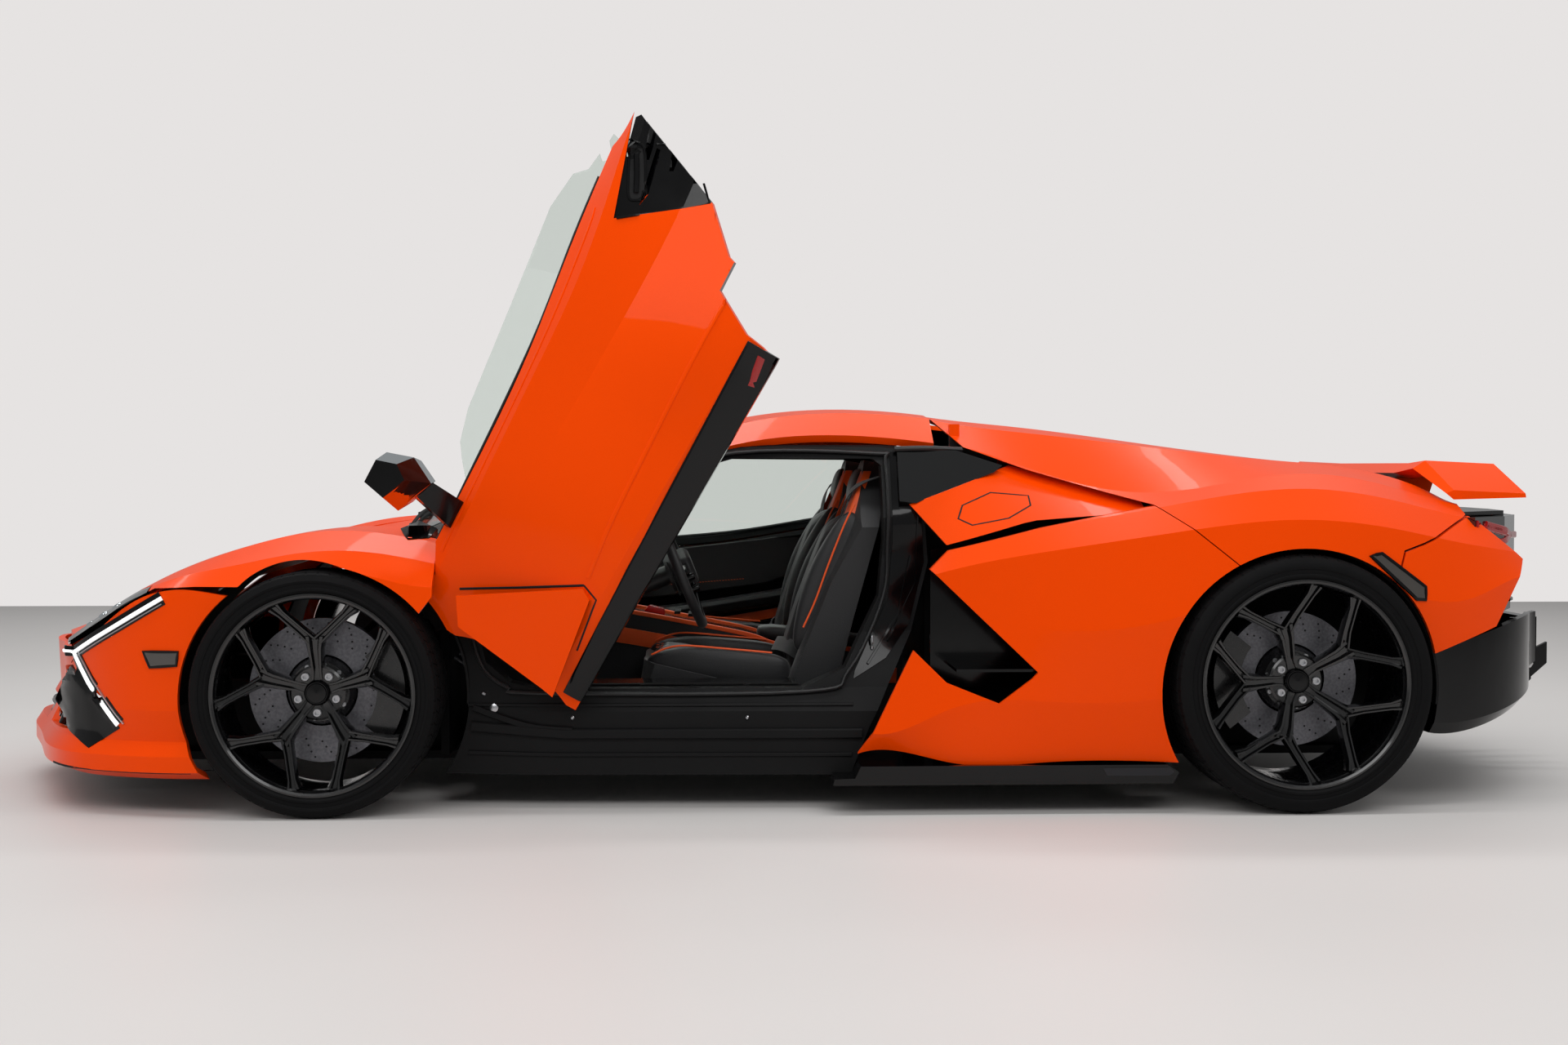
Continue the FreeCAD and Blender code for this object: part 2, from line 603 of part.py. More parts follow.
def build_wheels():
    """Tyres, rims and brake discs, each on its own axle line."""
    places = [
        ("front_left", AXLE_F, -TRACK_F / 2, TYRE_F, DISC_F_R, 90.0),
        ("front_right", AXLE_F, TRACK_F / 2, TYRE_F, DISC_F_R, 90.0),
        ("rear_left", AXLE_R, -TRACK_R / 2, TYRE_R, DISC_R_R, 180.0),
        ("rear_right", AXLE_R, TRACK_R / 2, TYRE_R, DISC_R_R, 180.0),
    ]
    for name, x, y, size, disc_r, start in places:
        out = -1.0 if y < 0 else 1.0
        centre = V(x, y, size["od"] / 2)
        save("tyre_" + name, tyre(size, centre))
        save("rim_" + name, rim(size, centre, out, start))
        save("brake_disc_" + name, brake_disc(size, centre, out, disc_r))


def revolve(profile, centre):
    """A closed profile of (y, r), turned about the axle through a centre point."""
    points = [V(centre.x, centre.y + y, centre.z + r) for y, r in profile]
    face = Part.Face(Part.makePolygon(points + [points[0]]))
    return face.revolve(centre, V(0, 1, 0), 360)


def tyre(size, centre):
    """A tyre with flat tread and rounded shoulders."""
    half = size["width"] / 2
    tread = half * TREAD_SHARE
    bead = half - 12
    outer = size["od"] / 2
    inner = size["rim"] / 2
    middle = (outer + inner) / 2
    return revolve([(-tread, outer), (tread, outer), (half - 4, outer - 20), (half, middle), (bead, inner),
                    (-bead, inner), (-half, middle), (4 - half, outer - 20)], centre)


def rim(size, centre, out, start):
    """A rim barrel with Y-shaped spokes that dish inward to the hub."""
    half = size["width"] / 2
    seat = size["rim"] / 2
    barrel = revolve([(-half + 6, seat), (half - 6, seat), (half - 6, seat - RIM_WALL),
                      (-half + 6, seat - RIM_WALL)], centre)
    lip = half - 6
    hub_y = out * (lip - size["inset"] - 15)
    node_y = out * (lip - size["inset"] * 0.55)
    tip_y = out * (lip - 16)
    hub = Part.makeCylinder(HUB_R, 50, centre + V(0, hub_y - 25, 0), V(0, 1, 0))
    bore = Part.makeCylinder(STUB_R + HUB_PLAY, 90, centre + V(0, hub_y - 45, 0), V(0, 1, 0))
    pieces = [barrel, hub]
    for i in range(SPOKES):
        angle = math.radians(start + i * 360.0 / SPOKES)
        reach = seat - RIM_WALL / 2
        root = point_on(centre, angle, HUB_R * 0.55, hub_y)
        node = point_on(centre, angle, reach * SPOKE_NODE, node_y)
        pieces.append(bar(root, node, 46, 34, SPOKE_T))
        for turn in (-BRANCH_ANGLE, BRANCH_ANGLE):
            end = point_on(centre, angle + math.radians(turn), reach, tip_y)
            pieces.append(bar(node, end, 30, 24, SPOKE_T))
        pieces.append(Part.makeCylinder(19, SPOKE_T, node - V(0, SPOKE_T / 2, 0), V(0, 1, 0)))
    return fuse(pieces).cut(bore)


def point_on(centre, angle, r, y):
    """A point at an angle and radius about an axle, offset y along it."""
    return centre + V(r * math.cos(angle), y, r * math.sin(angle))


def brake_disc(size, centre, out, r):
    """A brake disc with its bell, which meets the back of the rim's hub."""
    half = size["width"] / 2
    hub_back = half - 6 - size["inset"] - 15 - 25
    inner = BELL_R - 2
    ring = revolve_side([(hub_back - 70, inner), (hub_back - 70, r), (hub_back - 70 + DISC_T, r),
                         (hub_back - 70 + DISC_T, inner)], centre, out)
    bell = revolve_side([(hub_back, 40), (hub_back, BELL_FACE_R), (hub_back - 50, BELL_R),
                         (hub_back - 66, BELL_R), (hub_back - 10, BELL_FACE_R - 10), (hub_back - 10, 40)],
                        centre, out)
    return fuse([ring, bell])


def revolve_side(profile, centre, out):
    """A profile whose y grows outward, turned about the axle."""
    return revolve([(out * y, r) for y, r in profile], centre)


# Structure
# Each station: x, then (w, z) down the outside of the door frame from the roof rail to the sill
FRAME_LINES = [
    (-1090, [(556, 1060), (588, 1040), (755, 765), (758, 700), (780, 500), (785, 345), (790, 280), (784, 98)]),
    (-800, [(556, 1060), (588, 1040), (755, 765), (760, 700), (795, 500), (822, 345), (830, 280), (826, 98)]),
    (60, [(556, 1060), (588, 1040), (728, 780), (728, 700), (775, 500), (820, 345), (852, 280), (856, 98)]),
    (200, [(556, 1060), (588, 1040), (700, 830), (695, 720), (735, 500), (806, 345), (852, 280), (856, 98)]),
    (350, [(556, 1045), (588, 1025), (688, 850), (680, 720), (700, 500), (790, 345), (840, 280), (850, 98)]),
]
FRAME_T = 80.0
# Side view outlines of the door frame and of the opening in it
FRAME_OUTLINE = [(-1085, 60), (82, 60), (150, 232), (285, 500), (338, 700), (325, 862), (252, 862), (252, 1046),
                 (-255, 1046), (-560, 962), (-800, 880), (-985, 770), (-1085, 720)]
DOOR_OPENING = [(-800, 345), (-40, 345), (85, 400), (188, 600), (205, 760), (205, 985), (180, 1005), (-225, 1008),
                (-540, 918), (-780, 832), (-960, 700), (-985, 560), (-950, 420), (-880, 362)]
QUARTER_GLASS = [(253, 880), (253, 1030), (430, 1030), (566, 985), (540, 965), (300, 874)]
FLOOR_Z = 96.0
FLOOR_T = 24.0
RAIL_W = (380.0, 460.0)
REAR_RAIL_W = (400.0, 470.0)


def liner(x, z, r, w0, w1, x0, x1, z0, room=0.0):
    """A wheel-house liner: a strip of a cylinder above z0, from w0 out to w1, with some room added round it."""
    outer = Part.makeCylinder(r + LINER_T + room, w1 - w0, V(x, -w1, z), V(0, 1, 0))
    inner = Part.makeCylinder(r - room, w1 - w0 + 2, V(x, -w1 - 1, z), V(0, 1, 0))
    return outer.cut(inner).common(box(x0, x1, w0, w1, z0, 2 * HEIGHT))


def front_liner(room=0.0):
    """The left front wheel-house liner, with some room added round it."""
    x0 = AXLE_F - 500
    inner = liner(AXLE_F, ARCH_F_Z, LINER_F_R, 560, 800 + room, x0, AXLE_F + 500, 300 - room, room)
    outer = liner(AXLE_F, ARCH_F_Z, LINER_F_R, 799, 865 + room, x0, -1135 + room, 300 - room, room)
    return fuse([inner, outer])


def build_structure(front, roof, rear, diffuser):
    """Floor and rails, wheel-house liners, door frames and quarter glass."""
    frame = left_skin(FRAME_LINES, FRAME_T, 0.0, True)
    frame = frame.common(side_prism(FRAME_OUTLINE, 0, WIDTH)).cut(side_prism(DOOR_OPENING, 0, WIDTH))
    frame = frame.cut(arch(AXLE_F, ARCH_F_Z, LINER_F_R + LINER_T))
    for shell in roof:
        frame = biggest(frame.cut(shell))
    pin = rod(along_hinge(740), along_hinge(HINGE_LUG_W[1] - 9), HINGE_PIN_R)
    frame = save_sides("door_frame", fuse([frame, pin]))
    pane = glass_slab(860.0, 1045.0, GLASS_T, -14.0).common(side_prism(QUARTER_GLASS, 0, WIDTH))
    save("quarter_glass", both(biggest(pane.cut(rear["flap"]).cut(frame))))

    floor_plan = [(-2150, 0), (-2150, 430), (-1780, 480), (-1035, 480), (-1010, 725), (900, 725), (960, 480),
                  (DIFFUSER_X - 15, 480), (DIFFUSER_X - 15, 0)]
    pan = plan_prism(floor_plan, FLOOR_Z, FLOOR_Z + FLOOR_T)
    pieces = [pan, mirrored(pan)]
    deck_z = FLOOR_Z + FLOOR_T
    pieces.append(centre_box(-1110, -1085, 560, deck_z - 1, 735))
    pieces.append(centre_box(345, 370, 540, deck_z - 1, 1000))
    pieces.append(centre_box(-1280, -1086, 560, sz(COWL_Z) - 15, sz(COWL_Z) - SEAT))
    pieces.append(centre_box(-2185, -2150, 500, 150, 330))
    beam = centre_box(-2480, -2180, 280, 215, 285)
    pieces.append(biggest(beam.cut(front["insert"]).cut(moved(front["insert"], SEAT, 0, 0))))
    tail = centre_box(1930, 1960, 520, 200, sz(TAIL_TOP) - SEAT)
    for side in (1, -1):
        tail = tail.cut(extrude(hexagon(1900, side * EXHAUST_W, EXHAUST_Z, EXHAUST_R + SEAT), V(100, 0, 0)))
    pieces.append(tail)
    for x, z in DECK_BARS:
        bar_half = 538 if x < 1000 else 488
        pieces.append(seated(centre_box(x, x + 35, bar_half - 1, z - 130, z), DECK_SHELL, 0, -1))
    for side in (1, -1):
        w0, w1 = RAIL_W
        rail = [box(-2160, -1100, w0, w1, 210, 330), box(-2160, -1100, w0, w0 + 20, deck_z - 1, 215)]
        w0, w1 = REAR_RAIL_W
        rail += [box(365, 1940, w0, w1, 250, 370), box(365, DIFFUSER_X - 15, w0, w0 + 20, deck_z - 1, 255)]
        rail.append(side_prism([(365, 360), (365, 1000), (700, 985), (1000, 930), (1000, 360)], 520, 538))
        rail.append(box(365, 1000, 460, 538, 340, 362))
        rail.append(side_prism([(1000, 360), (1000, 930), (1700, 850), (1900, 800), (1900, 360)], 470, 488))
        rail.append(box(980, 1002, 470, 538, 342, 930))
        rail += body_brackets(front, rear)
        pieces += rail if side == 1 else [mirrored(item) for item in rail]
    tub = fuse(pieces).cut(diffuser).cut(moved(diffuser, 0, 0, SEAT))
    wheel_room = Part.makeCylinder(ARCH_R_R + LINER_T, 500, V(AXLE_R, -990, ARCH_R_Z), V(0, 1, 0))
    tub = tub.cut(wheel_room).cut(mirrored(wheel_room)).cut(frame).cut(mirrored(frame))
    tub = save("body_tub", biggest(tub))

    wheel_house = front_liner()
    rear_house = liner(AXLE_R, ARCH_R_Z, ARCH_R_R, 490, 925, AXLE_R - 500, AXLE_R + 500, 300)
    save("wheel_liners", Part.makeCompound([wheel_house, mirrored(wheel_house), rear_house, mirrored(rear_house)]))
    return {"tub": tub, "frame": frame}


def body_brackets(front, rear):
    """The left side's brackets for lamp, fender, quarter panel, engine and intake duct."""
    lamp_post = seated(box(-2095, -2060, 630, 680, 300, 620), front["lamp"], 0, -1)
    fender_post = seated(box(-1108, -1090, 750, 850, 690, 800), front["fender"], 0, -1)
    quarter_post = seated(box(420, 450, 505, 535, 960, 1110), rear["quarter"], 0, -1)
    return [
        lamp_post, box(-2095, -2060, 440, 640, 290, 325), box(-2095, -2060, 600, 680, 290, 325),
        fender_post, box(-1108, -1090, 550, 760, 640, 700), quarter_post,
        box(700, 760, 290 + SEAT, 465, 255, 325), box(1500, 1560, 200 + SEAT, 401, 255, 325),
        box(500, 520, 537, DUCT_W - SEAT, 500, 540),
    ]


# Rear centre
# Each station: x, then (w, z) from the centre to the edge beside the quarter panel
DECK_LINES = [
    (380, [(0, 1066), (250, 1066), (318, 1098)]),
    (640, [(0, 1030), (260, 1030), (332, 1068)]),
    (975, [(0, 982), (290, 982), (366, 1026)]),
    (1370, [(0, 930), (340, 930), (436, 974)]),
    (1700, [(0, 884), (400, 884), (508, 926)]),
]
SLAT_COUNT = 7
SLAT_PITCH = 165.0
SLAT_OPEN = 70.0
WING_LINES = [
    (0, [(1790, 962), (1835, 992), (2060, 984), (2064, 970), (1850, 944)]),
    (520, [(1790, 962), (1835, 992), (2060, 984), (2064, 970), (1850, 944)]),
    (620, [(1812, 976), (1850, 1000), (2060, 990), (2066, 974), (1866, 958)]),
    (745, [(1868, 902), (1890, 912), (2106, 902), (2108, 890), (1890, 884)]),
]
TAIL_TOP = 834.0
TAIL_TOP_T = 12.0
TAIL_PLAN = [(2236, 0), (2216, 250), (2166, 500), (2046, 706), (2026, 692), (2142, 488), (2192, 240), (2212, 0)]
LAMP_REAR_PLAN = [(2176, 500), (2060, 706), (1915, 846), (1896, 820), (2028, 690), (2146, 488)]
DIFFUSER_X = 1760.0
DIFFUSER_LINES = [
    (DIFFUSER_X, [(0, 200), (905, 216), (925, 250), (925, 448), (890, 448), (890, 262), (0, 236)]),
    (1960, [(0, 216), (830, 232), (860, 262), (858, 505), (822, 505), (822, 276), (0, 252)]),
    (2140, [(0, 262), (640, 282), (690, 310), (690, 540), (655, 540), (655, 326), (0, 298)]),
    (2215, [(0, 282), (480, 302), (520, 330), (520, 532), (488, 532), (488, 346), (0, 314)]),
    (2330, [(0, 320), (275, 336), (305, 360), (305, 520), (275, 520), (275, 372), (0, 352)]),
]
STRAKES = [
    (60, [(1960, 236), (1960, 175), (2300, 180), (2473, 330), (2473, 400), (2330, 330), (2170, 280)]),
    (270, [(1960, 236), (1960, 165), (2200, 175), (2330, 300), (2330, 350), (2300, 335), (2170, 280)]),
    (560, [(1900, 232), (1900, 205), (2010, 225), (2186, 470), (2180, 520), (2140, 520), (2050, 300)]),
]
STRAKE_T = 14.0
# Number plate holder with its two screw holes, and the towing eye's hole beside them
PLATE_X = 2336.0
PLATE_Z = 440.0
PLATE_HALF = 300.0
PLATE_PITCH = 290.0
PLATE_HOLE_R = 3.3
TOW_Y = 220.0
TOW_R = 8.0
EXHAUST_W = 135.0
EXHAUST_Z = 655.0
EXHAUST_R = 92.0


def hexagon(x, w, z, r):
    """A hexagon across the car's length, flat side up."""
    return [V(x, w + r * math.cos(math.radians(a)), z + r * math.sin(math.radians(a))) for a in range(0, 360, 60)]


DECK_SHELL = full_skin(DECK_LINES, 14.0)
# Cross bars under the deck: front face and the height that each is cut back from
DECK_BARS = [(530, 1036), (1370, 945)]


def build_rear_centre(rear):
    """Engine deck, wing, tail panel, lamps and exhausts."""
    deck = DECK_SHELL
    for i in range(SLAT_COUNT):
        x = sx(440 + i * SLAT_PITCH)
        deck = deck.cut(Part.makeBox(SLAT_OPEN, 420, HEIGHT, V(x, -210, 0)))
    save("engine_deck", deck)

    half = loft([[V(sx(x), -sw(w), sz(z)) for x, z in line] for w, line in WING_LINES], True)
    top = TAIL_TOP + TAIL_TOP_T
    stay = side_prism([(1880, top), (1850, 975), (1990, 975), (1950, top)], 330, 350)
    stay = moved(stay, 0, 0, SEAT)
    wing = fuse([half, mirrored(half), stay, mirrored(stay)])
    save("rear_wing", wing)

    panel = plan_prism(TAIL_PLAN, sz(545), sz(716))
    upper = plan_prism([(2216, 0), (2196, 250), (2146, 490), (1920, 700), (1900, 690), (1850, 0)], sz(TAIL_TOP),
                       sz(top))
    back = plan_prism(TAIL_PLAN[:3] + TAIL_PLAN[5:], sz(716), sz(TAIL_TOP))
    panel = fuse([panel, mirrored(panel), upper, mirrored(upper), back, mirrored(back)])
    for side in (1, -1):
        hole = extrude(hexagon(2100, side * EXHAUST_W, EXHAUST_Z, EXHAUST_R + 2), V(300, 0, 0))
        panel = panel.cut(hole)
    save("tail_panel", panel)
    lamp = plan_prism(LAMP_REAR_PLAN, sz(716.5), sz(TAIL_TOP) - SEAT)
    lamp = lamp.cut(back).cut(rear["bumper"])
    save("tail_lamps", both(biggest(lamp)))

    pipes = []
    for side in (1, -1):
        outer = extrude(hexagon(1900, side * EXHAUST_W, EXHAUST_Z, EXHAUST_R), V(352, 0, 0))
        inner = extrude(hexagon(1915, side * EXHAUST_W, EXHAUST_Z, EXHAUST_R - 8), V(352, 0, 0))
        pipes.append(outer.cut(inner))
    muffler = centre_box(1700, 1901, 300, 540, 770)
    save("exhaust", fuse(pipes + [muffler]))


def build_diffuser():
    """Diffuser with its strakes and the number plate's holder."""
    half = loft([[V(sx(x), -sw(w), sz(z)) for w, z in line] for x, line in DIFFUSER_LINES])
    pieces = [half, mirrored(half)]
    for w, outline in STRAKES:
        fin = side_prism(outline, w - STRAKE_T / 2, w + STRAKE_T / 2)
        pieces += [fin, mirrored(fin)]
    x = sx(PLATE_X)
    pieces.append(centre_box(x - 40, x, PLATE_HALF, sz(352), PLATE_Z + 62))
    diffuser = fuse(pieces)
    for y, z, r in ((-PLATE_PITCH / 2, PLATE_Z, PLATE_HOLE_R), (PLATE_PITCH / 2, PLATE_Z, PLATE_HOLE_R),
                    (TOW_Y, PLATE_Z, TOW_R)):
        diffuser = diffuser.cut(Part.makeCylinder(r, 60, V(x - 50, y, z), V(1, 0, 0)))
    return save("diffuser", biggest(diffuser.cut(arch(AXLE_R, ARCH_R_Z, ARCH_R_R + LINER_T + SEAT))))


SKIRT = [(38, 86), (42, 104), (100, 106), (116, 140), (985, 140), (1018, 118), (1000, 86)]
DUCT_W = 672.0
DUCT_WALL = [(345, 330), (345, 735), (640, 800), (720, 800), (720, 330)]


def build_side_trim(rear, structure):
    """Side skirts and the ducts behind the intakes."""
    skirt = side_prism(SKIRT, 726, 985).cut(structure["frame"]).cut(rear["fender"])
    save("side_skirts", both(biggest(skirt)))
    wall = side_prism(DUCT_WALL, DUCT_W, DUCT_W + 16)
    back = box(705, 720, 688, 950, 330, 790)
    floor = side_prism([(400, 305), (400, 320), (720, 330), (720, 315)], DUCT_W, 948)
    vane = side_prism([(390, 400), (390, 408), (700, 408), (700, 400)], 688, 945)
    duct = fuse([wall, back, floor, vane]).cut(rear["fender"]).cut(rear["quarter"])
    save("side_intakes", both(biggest(duct)))


# Cabin
SEAT_W = 370.0
SEAT_LINES = [
    (-235, [(-500, 300), (-470, 392), (-200, 330), (-60, 345), (60, 640), (150, 800), (200, 800), (60, 300), (-60, 225),
            (-460, 225)]),
    (-170, [(-520, 290), (-500, 400), (-200, 320), (-75, 330), (40, 640), (150, 900), (215, 890), (75, 300), (-60, 215),
            (-490, 215)]),
    (-90, [(-520, 290), (-505, 395), (-200, 300), (-60, 310), (60, 640), (165, 985), (225, 975), (80, 290), (-60, 210),
           (-490, 210)]),
    (0, [(-520, 290), (-508, 390), (-200, 295), (-55, 305), (65, 640), (165, 990), (225, 980), (80, 290), (-60, 210),
         (-490, 210)]),
]
WHEEL_C = (-395.0, 375.0, 662.0)
WHEEL_R = 178.0
WHEEL_TILT = 22.0
COLUMN_R = 30.0
DASH_HALF = 625.0


def build_cabin():
    """Seats, dashboard, console and steering wheel."""
    half = loft([[V(sx(x), -(SEAT_W + w), z) for x, z in line] for w, line in SEAT_LINES])
    other = half.mirror(V(0, -SEAT_W, 0), V(0, 1, 0))
    base = box(-440, -20, SEAT_W - 190, SEAT_W + 190, FLOOR_Z + FLOOR_T, 225)
    seat = fuse([half, other, base])
    save("seats", both(seat))

    x, w, z = WHEEL_C
    centre = V(x, -w, z)
    axis = V(-math.cos(math.radians(WHEEL_TILT)), 0, -math.sin(math.radians(WHEEL_TILT)))
    dash = [(-1085, 480), (-1085, 742), (-900, 812), (-680, 792), (-640, 730), (-690, 560), (-760, 480)]
    hole = Part.makeCylinder(COLUMN_R + SEAT, 500, centre, axis)
    wheel_room = Part.makeCylinder(LINER_F_R + LINER_T + SEAT, 200, V(AXLE_F, 555, ARCH_F_Z), V(0, 1, 0))
    dash = side_prism(dash, -DASH_HALF, DASH_HALF).cut(hole).cut(wheel_room).cut(mirrored(wheel_room))
    save("dashboard", dash)
    tunnel = [(-1040, 120), (-1040, 455), (-740, 475), (-690, 505), (-620, 520), (-200, 440), (-60, 400), (320, 380), (320, 120)]
    save("console", side_prism(tunnel, -135, 135))

    ring = Part.makeTorus(WHEEL_R, 15, centre, axis)
    hub = Part.makeCylinder(60, 40, centre, axis)
    column = Part.makeCylinder(COLUMN_R, 360, centre + axis * 30, axis)
    spokes = []
    up = V(0, 1, 0).cross(axis)
    for angle in (0, 180, 255, 285):
        a = math.radians(angle)
        way = V(0, 1, 0) * math.cos(a) + up * math.sin(a) * -1
        spokes.append(rod(centre + way * 40 + axis * 12, centre + way * (WHEEL_R - 4) + axis * 2, 10))
    save("steering_wheel", fuse([ring, hub, column] + spokes))


# Running gear
UPRIGHT_T = 60.0
DISC_ROOM = 12.0


def knuckle(axle_x, size, w_face, disc_r, way):
    """An upright with its stub axle and brake caliper; way is the side the caliper sits on."""
    z = size["od"] / 2
    w0, w1 = w_face - UPRIGHT_T, w_face
    upright = side_block(axle_x, z, w0, w1)
    joint_w = w_face - KING_INSET
    pin = rod(V(axle_x, -joint_w, z - BALL_RISE - BALL_R), V(axle_x, -joint_w, z + BALL_RISE + BALL_R), KING_PIN_R)
    tip = hub_face_w(size)
    stub = Part.makeCylinder(STUB_R, tip - w0, V(axle_x, -tip, z), V(0, 1, 0))
    disc_w = disc_inner_w(size)
    inner = disc_r * 0.78
    outer = disc_r + 34
    caliper = sector(axle_x, z, inner, outer, disc_w - 34, disc_w + DISC_T + 30, way, 38)
    slot = sector(axle_x, z, inner - 20, disc_r + 6, disc_w - 6, disc_w + DISC_T + 6, way, 60)
    ear = sector(axle_x, z, 40, inner + 20, w0 + 10, disc_w - 12, way, 14)
    return fuse([upright, pin, ear, stub, caliper.cut(slot)])


def side_block(x, z, w0, w1):
    """The upright's body around the axle."""
    h = UPRIGHT_RISE
    outline = [(x - 45, z - h), (x - 60, z), (x - 35, z + h), (x + 35, z + h), (x + 60, z), (x + 45, z - h)]
    points = [V(px, -w0, pz) for px, pz in outline]
    return extrude(points, V(0, w0 - w1, 0))


def hub_face_w(size):
    """Distance outward from the centre plane to the outer face of a hub."""
    track = TRACK_F if size is TYRE_F else TRACK_R
    return track / 2 + size["width"] / 2 - 6 - size["inset"] - 4


def disc_inner_w(size):
    """Distance outward to the inner face of a brake disc."""
    track = TRACK_F if size is TYRE_F else TRACK_R
    return track / 2 + size["width"] / 2 - 6 - size["inset"] - 40 - 70


def sector(x, z, r0, r1, w0, w1, way, half_angle):
    """A block between two radii, spread to either side of the forward or rearward direction."""
    ring = Part.makeCylinder(r1, w1 - w0, V(x, -w1, z), V(0, 1, 0))
    ring = ring.cut(Part.makeCylinder(r0, w1 - w0 + 2, V(x, -w1 - 1, z), V(0, 1, 0)))
    far = 2 * r1
    rise = far * math.tan(math.radians(half_angle))
    wedge = extrude([V(x, -w0, z), V(x + way * far, -w0, z - rise), V(x + way * far, -w0, z + rise)],
                    V(0, w0 - w1, 0))
    return ring.common(wedge)


def wishbones(axle_x, rail_w, joint_w, z, spread, tub):
    """Upper and lower wishbones from the rail to ball joints on one line."""
    arms = []
    hole = Part.makeCylinder(KING_PIN_R + PIN_PLAY, 600, V(axle_x, -joint_w, z - 300), V(0, 0, 1))
    for rise, level in ((-BALL_RISE, z - 110), (BALL_RISE, z + 60)):
        ball = V(axle_x, -joint_w, z + rise)
        arm = [Part.makeSphere(BALL_R, ball)]
        for way in (-1, 1):
            foot = V(axle_x + way * spread, -rail_w, min(max(level, 225), 355))
            arm.append(rod(foot, ball, 12))
        arms.append(biggest(fuse(arm).cut(hole).cut(tub)))
    return arms


def build_running_gear(tub):
    """Knuckles with calipers, and the arms that carry them."""
    front_w = disc_inner_w(TYRE_F) - DISC_ROOM
    save_sides("knuckle_front", knuckle(AXLE_F, TYRE_F, front_w, DISC_F_R, 1))
    rear_w = disc_inner_w(TYRE_R) - DISC_ROOM
    save("knuckles_rear", both(knuckle(AXLE_R, TYRE_R, rear_w, DISC_R_R, -1)))
    arms = wishbones(AXLE_F, RAIL_W[1], front_w - KING_INSET, TYRE_F["od"] / 2, 150, tub)
    arms += wishbones(AXLE_R, REAR_RAIL_W[1] + 18, rear_w - KING_INSET, TYRE_R["od"] / 2, 170, tub)
    save("suspension_arms", Part.makeCompound(arms + [mirrored(arm) for arm in arms]))


def build_engine():
    """One plain block for the engine and one for the gearbox behind it."""
    block = centre_box(450, 1150, 290, 230, 820)
    gearbox = centre_box(1149, 1690, 200, 230, 560)
    save("engine", fuse([block, gearbox]))


def build_all():
    """Build and write every sub-part."""
    front = build_front()
    roof = build_glasshouse()
    rear = build_rear_sides()
    build_doors(front["fender"], rear)
    diffuser = build_diffuser()
    structure = build_structure(front, roof, rear, diffuser)
    build_rear_centre(rear)
    build_side_trim(rear, structure)
    build_cabin()
    build_running_gear(structure["tub"])
    build_engine()
    build_wheels()


build_all()
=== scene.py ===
import math

import bmesh
import bpy
from mathutils import Matrix, Vector
from mathutils.bvhtree import BVHTree
from mathutils.geometry import delaunay_2d_cdt


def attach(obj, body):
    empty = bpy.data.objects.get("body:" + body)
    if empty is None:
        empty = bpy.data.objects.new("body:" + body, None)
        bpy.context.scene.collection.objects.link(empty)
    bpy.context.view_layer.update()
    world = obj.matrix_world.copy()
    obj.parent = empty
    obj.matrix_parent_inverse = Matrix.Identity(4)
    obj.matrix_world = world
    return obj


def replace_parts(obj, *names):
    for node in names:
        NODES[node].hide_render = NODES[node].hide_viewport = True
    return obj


bl_info = {
    "name": "Mid-engined sports car",
    "version": (1, 0, 0),
    "blender": (4, 5, 0),
    "location": "View3D > Sidebar > Sports car",
    "description": "Dresses the packed sports car: paint, glass, wheels, lamps, cabin and trim",
    "category": "Object",
}

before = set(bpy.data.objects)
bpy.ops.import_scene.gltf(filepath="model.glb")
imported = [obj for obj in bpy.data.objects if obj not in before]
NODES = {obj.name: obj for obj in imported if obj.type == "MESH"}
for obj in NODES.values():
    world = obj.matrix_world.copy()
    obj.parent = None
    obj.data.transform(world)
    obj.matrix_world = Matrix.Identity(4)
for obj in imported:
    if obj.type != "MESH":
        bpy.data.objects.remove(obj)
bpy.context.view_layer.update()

# The doors' hinge line on the left side, and how far the left door stands open
HINGE_POINT = Vector((-1.03, -0.85, 0.53))
HINGE_AXIS = Vector((0.0, -1.0, -0.12)).normalized()
DOOR_OPEN = math.radians(60)
LEFT_OPEN = (Matrix.Translation(HINGE_POINT) @ Matrix.Rotation(DOOR_OPEN, 4, HINGE_AXIS)
             @ Matrix.Translation(-HINGE_POINT))
MIRROR = Matrix.Scale(-1, 4, Vector((0, 1, 0)))
SIDES = ((-1, "left"), (1, "right"))
# Each axle: x, half track, tyre half width, tyre radius, rim seat radius, angle of the first spoke,
# how far the hub is set in from the lip, brake disc radius
AXLES = {
    "front": (-1.4085, 0.86, 0.1325, 0.3462, 0.284, 90, 0.07, 0.205),
    "rear": (1.3705, 0.8505, 0.1775, 0.36815, 0.2965, 180, 0.095, 0.195),
}
WHEELS = [f"{end}_{label}" for end in AXLES for _, label in SIDES]


# Colour and material helpers
def linear(code, alpha=1.0):
    """An sRGB hex code as linear colour."""
    values = [int(code[i:i + 2], 16) / 255 for i in (0, 2, 4)]
    return [v / 12.92 if v <= 0.04045 else ((v + 0.055) / 1.055) ** 2.4 for v in values] + [alpha]


def add(tree, kind, links=None, values=None, **settings):
    """A node with its settings, its input values and its links from (node, output) pairs."""
    made = tree.nodes.new(kind)
    for key, value in settings.items():
        setattr(made, key, value)
    for key, value in (values or {}).items():
        made.inputs[key].default_value = value
    for key, (source, output) in (links or {}).items():
        tree.links.new(source.outputs[output], made.inputs[key])
    return made


# The materials by key
M = {}


